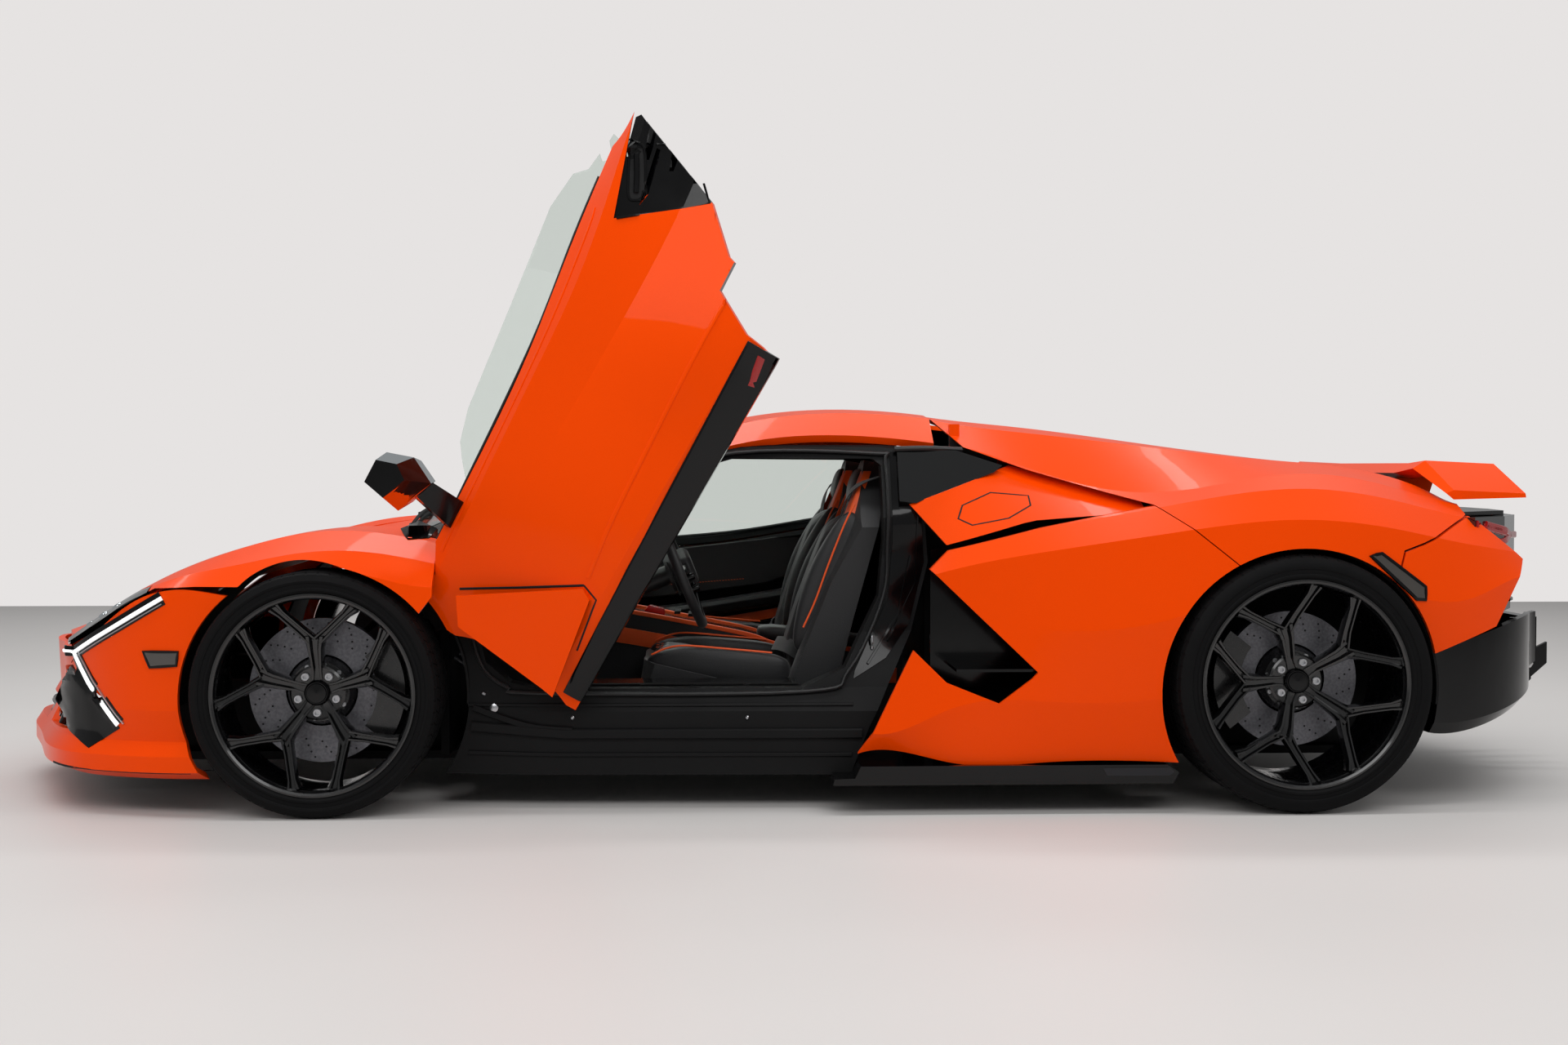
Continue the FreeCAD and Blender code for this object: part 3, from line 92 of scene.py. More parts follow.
def material(key, name, tones=None, relief=None, rough=None, **sockets):
    """A Principled material kept under a key, its patterns laid on Object coordinates.

    tones: dark and light colour, noise scale and detail, and where the ramp starts and ends.
    relief: texture kind and inputs, bump strength and distance.
    rough: noise scale, lowest and highest roughness."""
    made = bpy.data.materials.new(name)
    made.use_nodes = True
    tree = made.node_tree
    shader = tree.nodes["Principled BSDF"]
    for socket, value in sockets.items():
        shader.inputs[socket.replace("_", " ")].default_value = value
    place = (add(tree, "ShaderNodeTexCoord"), "Object")
    if tones:
        dark, light, scale, detail, low, high = tones
        fleck = add(tree, "ShaderNodeTexNoise", {"Vector": place}, {"Scale": scale, "Detail": detail})
        ramp = add(tree, "ShaderNodeValToRGB", {"Fac": (fleck, "Fac")})
        for stop, position, colour in zip(ramp.color_ramp.elements, (low, high), (dark, light)):
            stop.position = position
            stop.color = colour
        tree.links.new(ramp.outputs["Color"], shader.inputs["Base Color"])
    if relief:
        kind, values, strength, distance = relief
        texture = add(tree, "ShaderNodeTex" + kind, {"Vector": place}, values)
        height = (texture, "Distance" if kind == "Voronoi" else "Fac")
        raised = add(tree, "ShaderNodeBump", {"Height": height}, {"Strength": strength, "Distance": distance})
        tree.links.new(raised.outputs["Normal"], shader.inputs["Normal"])
    if rough:
        scale, low, high = rough
        wear = add(tree, "ShaderNodeTexNoise", {"Vector": place}, {"Scale": scale})
        spread_out = add(tree, "ShaderNodeMapRange", {"Value": (wear, "Fac")},
                         {"To Min": low, "To Max": high})
        tree.links.new(spread_out.outputs["Result"], shader.inputs["Roughness"])
    M[key] = made
    return made


def make_materials(look):
    """Every finish on the car."""
    paint, accent = [*look.paint, 1.0], [*look.accent, 1.0]
    # Base coat and clear lacquer over sheet aluminium: deep orange, glossy, with a faint orange peel
    flake = [c * 0.93 for c in look.paint] + [1.0]
    material("paint", "orange_lacquer", (flake, paint, 2600.0, 0.0, 0.4, 0.6),
             ("Noise", {"Scale": 260.0, "Detail": 1.0}, 0.012, 0.002),
             Roughness=0.3, Coat_Weight=0.14, Coat_Roughness=0.03, Specular_IOR_Level=0.25,
             Specular_Tint=linear("ff7a2a"))
    # Moulded piano black ABS: mirrors its surroundings, with slight swirl
    material("gloss", "gloss_black_abs", rough=(18.0, 0.08, 0.2), Base_Color=linear("030304"),
             Coat_Weight=0.12, Coat_Roughness=0.03, Specular_IOR_Level=0.25)
    # Moulded grained plastic of liners, sills and underbody: dark grey with a fine leather grain
    material("matte", "grained_polypropylene", None, ("Voronoi", {"Scale": 420.0}, 0.18, 0.0006),
             (6.0, 0.5, 0.72), Base_Color=linear("0a0a0b"), Specular_IOR_Level=0.2)
    # Laminated float glass: thin, slightly green, clear enough to show the cabin
    material("glass", "tinted_glass", Base_Color=linear("dfe8e3"), Roughness=0.0, IOR=1.1,
             Transmission_Weight=1.0, Specular_IOR_Level=0.9, Coat_Weight=0.8, Coat_Roughness=0.0)
    # Quarter glass with a baked privacy tint: nearly black, sharp reflections
    material("dark_glass", "privacy_glass", rough=(3.0, 0.01, 0.05), Base_Color=linear("060708"),
             Coat_Weight=0.5, Coat_Roughness=0.0)
    # Gloss black paint on the rims' forged alloy: hard highlights, faint dust
    material("rim", "black_painted_alloy", rough=(30.0, 0.16, 0.34), Base_Color=linear("060607"),
             Coat_Weight=0.5, Coat_Roughness=0.05)
    # Moulded tyre rubber: black and dry, with a fine mould texture
    material("tyre", "tyre_rubber", None, ("Noise", {"Scale": 900.0, "Detail": 1.0}, 0.12, 0.0005),
             (12.0, 0.62, 0.82), Base_Color=linear("070708"), Specular_IOR_Level=0.14)
    # Ground carbon-ceramic brake disc: mid grey, satin, mottled by its fibres
    material("disc", "ceramic_disc", (linear("65656a"), linear("77777c"), 140.0, 3.0, 0.35, 0.65),
             Roughness=0.38, Metallic=0.55)
    # Sand-cast aluminium of uprights and engine: dark and granular
    material("cast", "cast_aluminium", None, ("Noise", {"Scale": 600.0, "Detail": 1.0}, 0.2, 0.0005),
             Base_Color=linear("2b2b2e"), Roughness=0.5, Metallic=0.6)
    # Turned steel of bolts, studs and strikers: bright, unevenly polished
    material("steel", "bare_steel", rough=(80.0, 0.2, 0.4), Base_Color=linear("b9babd"), Metallic=1.0)
    # Baked enamel on calipers and disc bells: black with a soft gloss
    material("caliper", "black_enamel", rough=(40.0, 0.2, 0.36), Base_Color=linear("0a0a0b"), Coat_Weight=0.4)
    # Brushed exhaust steel, blued and browned by heat
    material("exhaust", "brushed_exhaust_steel", (linear("3d3a3c"), linear("6b665f"), 14.0, 2.0, 0.35, 0.65),
             Roughness=0.35, Metallic=1.0)
    # Extruded rubber seals: dull black with a slight bloom
    material("rubber", "epdm_rubber", rough=(60.0, 0.42, 0.6), Base_Color=linear("141415"))
    # Grained hide of seats and dashboard, black and in the accent colour: soft sheen and pebbled grain
    material("leather", "black_leather", None, ("Voronoi", {"Scale": 380.0}, 0.35, 0.0008), (9.0, 0.42, 0.6),
             Base_Color=linear("161618"), Sheen_Weight=0.12)
    material("orange_leather", "orange_leather", None, ("Voronoi", {"Scale": 380.0}, 0.3, 0.0008),
             (9.0, 0.42, 0.58), Base_Color=accent, Sheen_Weight=0.1)
    # Bonded polyester thread of the stitching: matt with a fibrous sheen
    material("thread", "polyester_thread", rough=(500.0, 0.6, 0.8), Base_Color=accent, Sheen_Weight=0.3)
    # Woven belts and mats: fine ribs, no gloss
    material("fabric", "woven_polyester", None, ("Wave", {"Scale": 180.0, "Distortion": 1.0}, 0.3, 0.0008),
             Base_Color=linear("0e0e10"), Roughness=0.85, Sheen_Weight=0.3)
    # Moulded polycarbonate: smoked lamp covers, lit guides, red and smoked lenses with fine prisms
    material("lens", "lamp_lens_smoked", rough=(5.0, 0.02, 0.06), Base_Color=linear("0c0d0f"),
             Coat_Weight=1.0, Coat_Roughness=0.0)
    material("guide", "light_guide_white", rough=(50.0, 0.2, 0.35), Base_Color=linear("f4f6f8"),
             Emission_Color=linear("ffffff"), Emission_Strength=0.55)
    # The red lenses glow faintly: painted light on the door reflectors and the starter guard, which are no
    # lamps
    material("red", "red_polycarbonate", None, ("Voronoi", {"Scale": 240.0}, 0.2, 0.001),
             Base_Color=linear("8a0808"), Roughness=0.12, Coat_Weight=0.5, Emission_Color=linear("c00c0c"),
             Emission_Strength=0.08)
    material("marker", "smoked_marker_lens", None, ("Voronoi", {"Scale": 300.0}, 0.25, 0.001),
             Base_Color=linear("3a3632"), Roughness=0.08, Coat_Weight=1.0)
    # Silvered mirror glass: nearly perfect reflections
    material("mirror", "mirror_glass", rough=(2.0, 0.005, 0.02), Base_Color=linear("dfe6ea"), Metallic=1.0)
    # Blank number plate: pressed aluminium under white beaded sheet
    material("plate", "white_reflective_sheet", None, ("Noise", {"Scale": 900.0, "Detail": 0.0}, 0.1, 0.0004),
             Base_Color=linear("d9dadb"), Roughness=0.35)
    # Unlit screens: dark glass over black
    material("screen", "unlit_display_glass", rough=(8.0, 0.03, 0.09), Base_Color=linear("060809"),
             Coat_Weight=0.7)
    # Flat black without highlights, laid in gaps, holes and bores as painted shade
    material("dark", "painted_shade_black", rough=(20.0, 0.7, 0.9), Base_Color=linear("070708"))


# Mesh helpers
def build(verts, faces, name="mesh"):
    """A mesh from points and faces, doubles merged and faces turned outward."""
    mesh = bpy.data.meshes.new(name)
    mesh.from_pydata([tuple(v) for v in verts], [], faces)
    work = bmesh.new()
    work.from_mesh(mesh)
    bmesh.ops.remove_doubles(work, verts=work.verts, dist=1e-6)
    bmesh.ops.recalc_face_normals(work, faces=work.faces)
    work.to_mesh(mesh)
    work.free()
    return mesh


def loft(rings, closed=True, caps=True, loop=False):
    """Points and faces of a skin through rings of points."""
    size = len(rings[0])
    verts = [p for ring in rings for p in ring]
    faces = []
    count = len(rings)
    for i in range(count if loop else count - 1):
        j = (i + 1) % count
        for k in range(size if closed else size - 1):
            n = (k + 1) % size
            faces.append((i * size + k, i * size + n, j * size + n, j * size + k))
    if caps and closed and not loop:
        faces.append(tuple(range(size)))
        faces.append(tuple((count - 1) * size + k for k in reversed(range(size))))
    return verts, faces


def joined(parts):
    """Several (points, faces) pairs as one."""
    verts, faces = [], []
    for points, polygons in parts:
        start = len(verts)
        verts += list(points)
        faces += [tuple(start + i for i in polygon) for polygon in polygons]
    return verts, faces


def slab(outline, direction):
    """A flat outline of points, extruded along a direction."""
    step = Vector(direction)
    points = [Vector(p) for p in outline]
    return loft([points, [p + step for p in points]])


def smooth_path(points, steps=6, closed=False):
    """A Catmull-Rom path through points."""
    pts = [Vector(p) for p in points]
    count = len(pts)
    path = []
    for i in range(count if closed else count - 1):
        if closed:
            a, b, c, d = (pts[(i + k) % count] for k in (-1, 0, 1, 2))
        else:
            a, b, c, d = pts[max(i - 1, 0)], pts[i], pts[i + 1], pts[min(i + 2, count - 1)]
        for s in range(steps):
            t = s / steps
            path.append(0.5 * ((2 * b) + (c - a) * t + (2 * a - 5 * b + 4 * c - d) * t * t
                               + (3 * b - a - 3 * c + d) * t ** 3))
    if not closed:
        path.append(pts[-1])
    return path


def tube(path, width, height=None, sides=10, closed=False, up=(0, 0, 1), square=False):
    """A round or flat section swept along a path."""
    height = height or width
    up = Vector(up)
    rings = []
    count = len(path)
    for i, p in enumerate(path):
        before = path[(i - 1) % count] if closed or i else path[i]
        after = path[(i + 1) % count] if closed or i < count - 1 else path[i]
        along = (Vector(after) - Vector(before)).normalized()
        side = along.cross(up)
        if side.length < 1e-4:
            side = along.cross(Vector((1, 0, 0)))
        side.normalize()
        top = side.cross(along).normalized()
        if square:
            ring = [Vector(p) + side * width / 2 * a + top * height / 2 * b
                    for a, b in ((-1, -0.7), (-0.8, -1), (0.8, -1), (1, -0.7), (1, 0.7), (0.8, 1), (-0.8, 1),
                                 (-1, 0.7))]
        else:
            ring = [Vector(p) + side * width / 2 * math.cos(k * math.tau / sides)
                    + top * height / 2 * math.sin(k * math.tau / sides) for k in range(sides)]
        rings.append(ring)
    return loft(rings, loop=closed)


def revolved(profile, steps, closed=False):
    """A profile of (y, r) turned about the Y axis."""
    rings = []
    for i in range(steps):
        a = i * math.tau / steps
        rings.append([polar(r, a, y) for y, r in profile])
    return loft(rings, closed=closed, caps=False, loop=True)


def moved(verts, matrix):
    """Points after a matrix."""
    return [matrix @ Vector(v) for v in verts]


def polar(r, angle, y=0.0):
    """A point about the Y axis."""
    return Vector((r * math.cos(angle), y, r * math.sin(angle)))


def hexagon(r):
    """Six (across, up) points."""
    return [(r * math.cos(k * math.tau / 6), r * math.sin(k * math.tau / 6)) for k in range(6)]


def corners(u0, u1, v0, v1):
    """The four corners of a rectangle, in order round it."""
    return (u0, v0), (u1, v0), (u1, v1), (u0, v1)


def stood_on(part, spot, normal):
    """A part turned about the Y axis, stood on a surface."""
    turn = Vector((0, 1, 0)).rotation_difference(normal).to_matrix().to_4x4()
    return moved(part[0], Matrix.Translation(spot) @ turn), part[1]


def set_at(part, offset):
    """A part moved by an offset."""
    return moved(part[0], Matrix.Translation(offset)), part[1]


def piece(name, parts, mat, slot=None, body="car_body", bevel=0.0, smooth=35.0, subdivide=0):
    """(points, faces) parts as a finished piece on a body: smooth by angle, edges rounded where asked."""
    mesh = build(*joined(parts), name)
    obj = bpy.data.objects.new(name, mesh)
    bpy.context.scene.collection.objects.link(obj)
    mesh.materials.append(M[mat])
    for polygon in mesh.polygons:
        polygon.use_smooth = True
    mesh.set_sharp_from_angle(angle=math.radians(smooth))
    if bevel:
        edge = obj.modifiers.new("rounded_edges", "BEVEL")
        edge.width = bevel
        edge.segments = 2
        edge.limit_method = "ANGLE"
        edge.angle_limit = math.radians(smooth)
        edge.harden_normals = True
    if subdivide:
        smoothing = obj.modifiers.new("subdivision", "SUBSURF")
        smoothing.levels = smoothing.render_levels = subdivide
    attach(obj, body)
    return obj


def side_pieces(name, parts, mat, slot=None, **options):
    """A left piece and its mirror image on the car's body."""
    verts, faces = joined(parts)
    piece(name + "_left", [(verts, faces)], mat, slot, **options)
    piece(name + "_right", [(moved(verts, MIRROR), faces)], mat, slot, **options)


def door_pieces(name, parts, mat, slot=None, **options):
    """A piece drawn on the shut left door, put on the open left door and on the shut right door."""
    verts, faces = joined(parts)
    piece(name + "_left", [(moved(verts, LEFT_OPEN), faces)], mat, slot, "left_door", **options)
    piece(name + "_right", [(moved(verts, MIRROR), faces)], mat, slot, "right_door", **options)


# Draping on the solids' surfaces
TREES = {}


def surface(names, mirrored=False):
    """A search tree over the faces of some solids, mirrored to the left side where asked."""
    key = (tuple(names), mirrored)
    if key not in TREES:
        verts, faces = [], []
        for name in names:
            start = len(verts)
            mesh = NODES[name].data
            verts += [MIRROR @ v.co if mirrored else v.co.copy() for v in mesh.vertices]
            turn = reversed if mirrored else tuple
            faces += [tuple(start + i for i in turn(list(p.vertices))) for p in mesh.polygons]
        TREES[key] = BVHTree.FromPolygons(verts, faces)
    return TREES[key]


# A ray from the side that gets past NEAR_SIDE_Y has missed the near side, and then starts from a guess
NEAR_SIDE_Y = -0.35
GUESS = 1.15
WAYS = {"side": (Vector((0, 1, 0)), lambda a, b: Vector((a, -2.0, b))),
        "top": (Vector((0, 0, -1)), lambda a, b: Vector((a, b, 2.5))),
        "tail": (Vector((-1, 0, 0)), lambda a, b: Vector((4.0, a, b))),
        "nose": (Vector((1, 0, 0)), lambda a, b: Vector((-4.0, a, b)))}


def drape(names, points, way="side", mirrored=False):
    """(point, normal) on the first surface that each ray meets, from outside along a way."""
    tree = surface(names, mirrored)
    direction, start = WAYS[way]
    result = []
    for a, b in points:
        origin = start(a, b)
        hit, normal, _, _ = tree.ray_cast(origin, direction)
        if hit is None or (way == "side" and hit.y > NEAR_SIDE_Y):
            guess = result[-1][0] if result else origin + direction * GUESS
            near = origin + direction * (guess - origin).dot(direction)
            nearest, normal, _, _ = tree.find_nearest(near)
            hit = near if result else Vector((near.x, nearest.y, near.z)) if way == "side" else nearest
        if normal.dot(direction) > 0:
            normal = -normal
        result.append((hit, normal))
    return result


def dense(points, step, closed=False):
    """An outline with no gap longer than a step."""
    count = len(points)
    result = []
    for i in range(count if closed else count - 1):
        a, b = points[i], points[(i + 1) % count]
        parts = max(1, math.ceil(math.dist(a, b) / step))
        result += [tuple(a[k] + (b[k] - a[k]) * s / parts for k in (0, 1)) for s in range(parts)]
    if not closed:
        result.append(tuple(points[-1]))
    return result


def patch(names, outline, lift=0.0015, depth=0.004, step=0.03, way="side", mirrored=False):
    """A thin closed sheet that follows a surface inside an outline."""
    edge = dense(outline, step, True)
    xs, zs = [p[0] for p in edge], [p[1] for p in edge]
    inside = [(x, z) for x in spread(min(xs), max(xs), step) for z in spread(min(zs), max(zs), step)]
    count = len(edge)
    flat = [Vector(p) for p in edge + inside]
    rim = [(i, (i + 1) % count) for i in range(count)]
    points, _, faces, _, _, _ = delaunay_2d_cdt(flat, rim, [list(range(count))], 1, 1e-5)
    found = drape(names, [tuple(p) for p in points], way, mirrored)
    top = [p + n * lift for p, n in found]
    low = [p - n * (depth - lift) for p, n in found]
    size = len(points)
    shell = [tuple(f) for f in faces] + [tuple(size + i for i in reversed(f)) for f in faces]
    sides = {}
    for face in faces:
        for i, a in enumerate(face):
            b = face[(i + 1) % len(face)]
            if (b, a) in sides:
                del sides[(b, a)]
            else:
                sides[(a, b)] = True
    shell += [(b, a, size + a, size + b) for a, b in sides]
    return top + low, shell


def spread(low, high, step):
    """Even values strictly between two."""
    count = max(1, int((high - low) / step))
    return [low + (high - low) * (i + 0.5) / count for i in range(count)]


def ribbon(found, width, height, sink=0.001, closed=False):
    """A flat band along (point, normal) pairs, its middle raised by height."""
    rings = []
    count = len(found)
    for i, (p, n) in enumerate(found):
        before = found[(i - 1) % count if closed else max(i - 1, 0)][0]
        after = found[(i + 1) % count if closed else min(i + 1, count - 1)][0]
        along = (after - before).normalized()
        side = along.cross(n)
        side = side.normalized() if side.length > 1e-6 else Vector((0, 0, 1))
        section = ((-0.5, -sink), (-0.5, height * 0.6), (-0.36, height), (0.36, height),
                   (0.5, height * 0.6), (0.5, -sink))
        rings.append([p + side * width * a + n * h for a, h in section])
    return loft(rings, loop=closed)


def line_on(names, points, width, height, way="side", mirrored=False, closed=False, step=0.03, soft=False):
    """A band that follows a surface along a line."""
    path = smooth_path([(a, b, 0) for a, b in points], 5, closed) if soft else points
    path = dense([(p[0], p[1]) for p in path], step, closed)
    return ribbon(drape(names, path, way, mirrored), width, height, closed=closed)


# Geometry Nodes helpers
def repeat_tree(name, turn):
    """A node tree that repeats a mesh about the Y axis, or along a step."""
    tree = bpy.data.node_groups.new(name, "GeometryNodeTree")
    inputs = {"Geometry": "Geometry", "Count": "Int", "Step": "Vector", "Material": "Material"}
    for label, kind in inputs.items():
        tree.interface.new_socket(label, in_out="INPUT", socket_type="NodeSocket" + kind)
    tree.interface.new_socket("Geometry", in_out="OUTPUT", socket_type="NodeSocketGeometry")
    start = add(tree, "NodeGroupInput")
    index = add(tree, "GeometryNodeInputIndex")
    reach = add(tree, "ShaderNodeVectorMath", {0: (start, "Step"), "Scale": (index, "Index")},
                operation="SCALE")
    points = add(tree, "GeometryNodePoints", {"Count": (start, "Count")})
    if not turn:
        points = add(tree, "GeometryNodeSetPosition", {"Geometry": (points, 0), "Offset": (reach, "Vector")})
    last = add(tree, "GeometryNodeInstanceOnPoints", {"Points": (points, 0), "Instance": (start, "Geometry")})
    if turn:
        angle = add(tree, "FunctionNodeEulerToRotation", {"Euler": (reach, "Vector")})
        last = add(tree, "GeometryNodeRotateInstances", {"Instances": (last, 0), "Rotation": (angle, 0)},
                   {"Local Space": False})
    real = add(tree, "GeometryNodeRealizeInstances", {"Geometry": (last, 0)})
    painted = add(tree, "GeometryNodeSetMaterial", {"Geometry": (real, 0), "Material": (start, "Material")})
    add(tree, "NodeGroupOutput", {"Geometry": (painted, 0)})
    return tree


def repeated(parts, count, step, mat, turn=True):
    """The points and faces of parts repeated by a node tree: turned about Y by step, or moved by step."""
    key = "turned_copies" if turn else "stepped_copies"
    tree = bpy.data.node_groups.get(key) or repeat_tree(key, turn)
    verts, faces = joined(parts)
    source = bpy.data.objects.new("one_copy", build(verts, faces))
    bpy.context.scene.collection.objects.link(source)
    modifier = source.modifiers.new("copies", "NODES")
    modifier.node_group = tree
    sockets = {s.name: s.identifier for s in tree.interface.items_tree if s.in_out == "INPUT"}
    modifier[sockets["Count"]] = count
    modifier[sockets["Step"]] = (0.0, step, 0.0) if turn else tuple(step)
    modifier[sockets["Material"]] = M[mat]
    bpy.context.view_layer.update()
    mesh = bpy.data.meshes.new_from_object(source.evaluated_get(bpy.context.evaluated_depsgraph_get()))
    bpy.data.objects.remove(source)
    result = [v.co.copy() for v in mesh.vertices], [tuple(p.vertices) for p in mesh.polygons]
    bpy.data.meshes.remove(mesh)
    return result


# Materials by face on a carried-over solid
def paint_faces(node, keys, rule, back=None):
    """Gives each face of a solid the finish that a rule picks from its centre and outward normal."""
    mesh = NODES[node].data
    mesh.materials.clear()
    for key in keys:
        mesh.materials.append(M[key])
    for polygon in mesh.polygons:
        centre, normal = polygon.center.copy(), polygon.normal.copy()
        if back is not None:
            centre, normal = back @ centre, (back.to_3x3() @ normal).normalized()
        polygon.material_index = rule(centre, normal)


def inside(point, outline):
    """Whether (x, z) lies inside an outline."""
    x, z = point
    result = False
    for (x0, z0), (x1, z1) in zip(outline, outline[1:] + outline[:1]):
        if (z0 > z) != (z1 > z) and x < (x1 - x0) * (z - z0) / (z1 - z0) + x0:
            result = not result
    return result


# Looks of the carried-over solids
FINISHES = {
    "paint": ["nose", "front_lid", "front_fender_left", "front_fender_right", "roof", "door_left",
              "door_right", "rear_quarter_left", "rear_quarter_right", "rear_fender_left",
              "rear_fender_right", "rear_bumper", "flap_panels", "rear_wing"],
    "gloss": ["nose_inserts", "cowl", "mirror_left", "mirror_right", "side_skirts", "side_intakes",
              "diffuser", "tail_panel", "engine_deck"],
    "matte": ["door_frame_left", "door_frame_right", "body_tub", "wheel_liners"],
    "leather": ["dashboard", "console", "seats"],
    "rubber": ["steering_wheel"],
    "glass": ["windscreen", "door_glass_left", "door_glass_right"],
    "dark_glass": ["quarter_glass"],
    "lens": ["headlamps", "tail_lamps"],
    "exhaust": ["exhaust"],
    "cast": ["engine", "suspension_arms"],
    "rim": ["rim_" + w for w in WHEELS],
    "tyre": ["tyre_" + w for w in WHEELS],
}


def colour_prop(name, text, code):
    """A colour property with an sRGB default."""
    return bpy.props.FloatVectorProperty(name=name, description=text, subtype="COLOR", size=3, min=0.0,
                                         max=1.0, default=linear(code)[:3])


def size_prop(name, text, value):
    """A length property in metres."""
    return bpy.props.FloatProperty(name=name, description=text, default=value, unit="LENGTH", min=0.0)


class CarLook(bpy.types.PropertyGroup):
    """Colours that a user would change."""
    paint: colour_prop("Paint", "Body paint", "f54700")
    accent: colour_prop("Cabin accent", "Seat inserts and stitching", "f0560c")
    floor: colour_prop("Floor", "Stage floor", "d6d3d1")


class CarSizes(bpy.types.PropertyGroup):
    """Sizes that a user would change."""
    spoke_width: size_prop("Spoke width", "Width of a wheel spoke", 0.05)
    seal_width: size_prop("Seal width", "Width of the rubber seal round the doorway", 0.02)
    groove: size_prop("Tread groove", "Depth of the tread", 0.006)
    blocks: bpy.props.IntProperty(name="Tread blocks", description="Tread blocks round a tyre", default=64,
                                  min=8)


# The stage's lamps: name, place, turn in degrees, size and power
LAMPS = (
    ("near_strip", (0.0, -1.6, 4.4), (12, 0, 0), (9.0, 0.45), 110.0),
    ("far_strip", (0.0, 1.8, 4.4), (-14, 0, 0), (9.0, 0.45), 90.0),
    ("side_strip", (-0.6, -5.6, 4.6), (50, 0, 0), (9.0, 2.0), 190.0),
    ("front_fill", (-7.5, -3.6, 3.0), (68, 0, -62), (5.0, 3.5), 60.0),
    ("tail_fill", (7.5, -3.0, 3.2), (68, 0, 66), (5.0, 3.5), 60.0),
    ("back_fill", (0.0, 6.5, 4.2), (-54, 0, 0), (9.0, 2.0), 130.0),
)


class CAR_OT_stage(bpy.types.Operator):
    """Floor, lamps, pale surroundings and camera"""
    bl_idname = "sports_car.stage"
    bl_label = "Stage"

    def execute(self, context):
        scene = context.scene
        look = scene.car_look
        # Rolled studio floor paint: pale, satin, unevenly worn
        made = material("floor", "studio_floor", rough=(0.7, 0.42, 0.6), Base_Color=[*look.floor, 1.0])
        sides = [[(x, y, 0) for x in (-11, 11)] for y in (-9, 7.5)]
        verts, faces = loft(sides, closed=False)
        floor = bpy.data.objects.new("studio_floor", build(verts, faces))
        floor.data.materials.append(made)
        scene.collection.objects.link(floor)
        for name, place, turn, size, power in LAMPS:
            lamp = bpy.data.lights.new(name, "AREA")
            lamp.shape = "RECTANGLE"
            lamp.size, lamp.size_y = size
            lamp.energy = power
            holder = bpy.data.objects.new(name, lamp)
            holder.location = place
            holder.rotation_euler = [math.radians(a) for a in turn]
            holder.visible_glossy = not name.endswith("_fill")
            scene.collection.objects.link(holder)
        world = bpy.data.worlds.new("studio")
        world.use_nodes = True
        tree = world.node_tree
        background = tree.nodes["Background"]
        background.inputs["Color"].default_value = linear("f2f2f2")
        background.inputs["Strength"].default_value = 0.34
        # What the camera sees past the floor is a pale backdrop; the car gets the dimmer light
        seen = add(tree, "ShaderNodeBackground", values={"Color": linear("e6e3e2"), "Strength": 1.0})
        rays = add(tree, "ShaderNodeLightPath")
        clear = add(tree, "ShaderNodeMath", {0: (rays, "Is Camera Ray"), 1: (rays, "Is Transmission Ray")},
                    operation="MAXIMUM")
        inputs = {0: (clear, "Value"), 1: (background, "Background"), 2: (seen, "Background")}
        mix = add(tree, "ShaderNodeMixShader", inputs)
        tree.links.new(mix.outputs[0], tree.nodes["World Output"].inputs["Surface"])
        scene.world = world
        camera = bpy.data.cameras.new("camera")
        camera.lens = 45.0
        camera.sensor_width = 36.0
        holder = bpy.data.objects.new("camera", camera)
        holder.location = (-0.329, -6.447, 0.983)
        holder.rotation_euler = (math.radians(90 - 1.65), 0.0, math.radians(-2.4))
        scene.collection.objects.link(holder)
        scene.camera = holder
        scene.view_settings.view_transform = "Standard"
        return {"FINISHED"}


class CAR_OT_finishes(bpy.types.Operator):
    """Finishes of the carried-over solids"""
    bl_idname = "sports_car.finishes"
    bl_label = "Finishes"

    def execute(self, context):
        make_materials(context.scene.car_look)
        for key, names in FINISHES.items():
            for name in names:
                mesh = NODES[name].data
                mesh.materials.clear()
                mesh.materials.append(M[key])
        return {"FINISHED"}


# Wheels: how far the rim's lip lies inside the tyre's side, and the sizes of what the hub carries
LIP_IN = 0.006
SPOKES = 5
BOLT_CIRCLE = 0.056
BELL_R = 0.1045
BELL_BOLTS_R = 0.076
CALIPER_R = 0.15


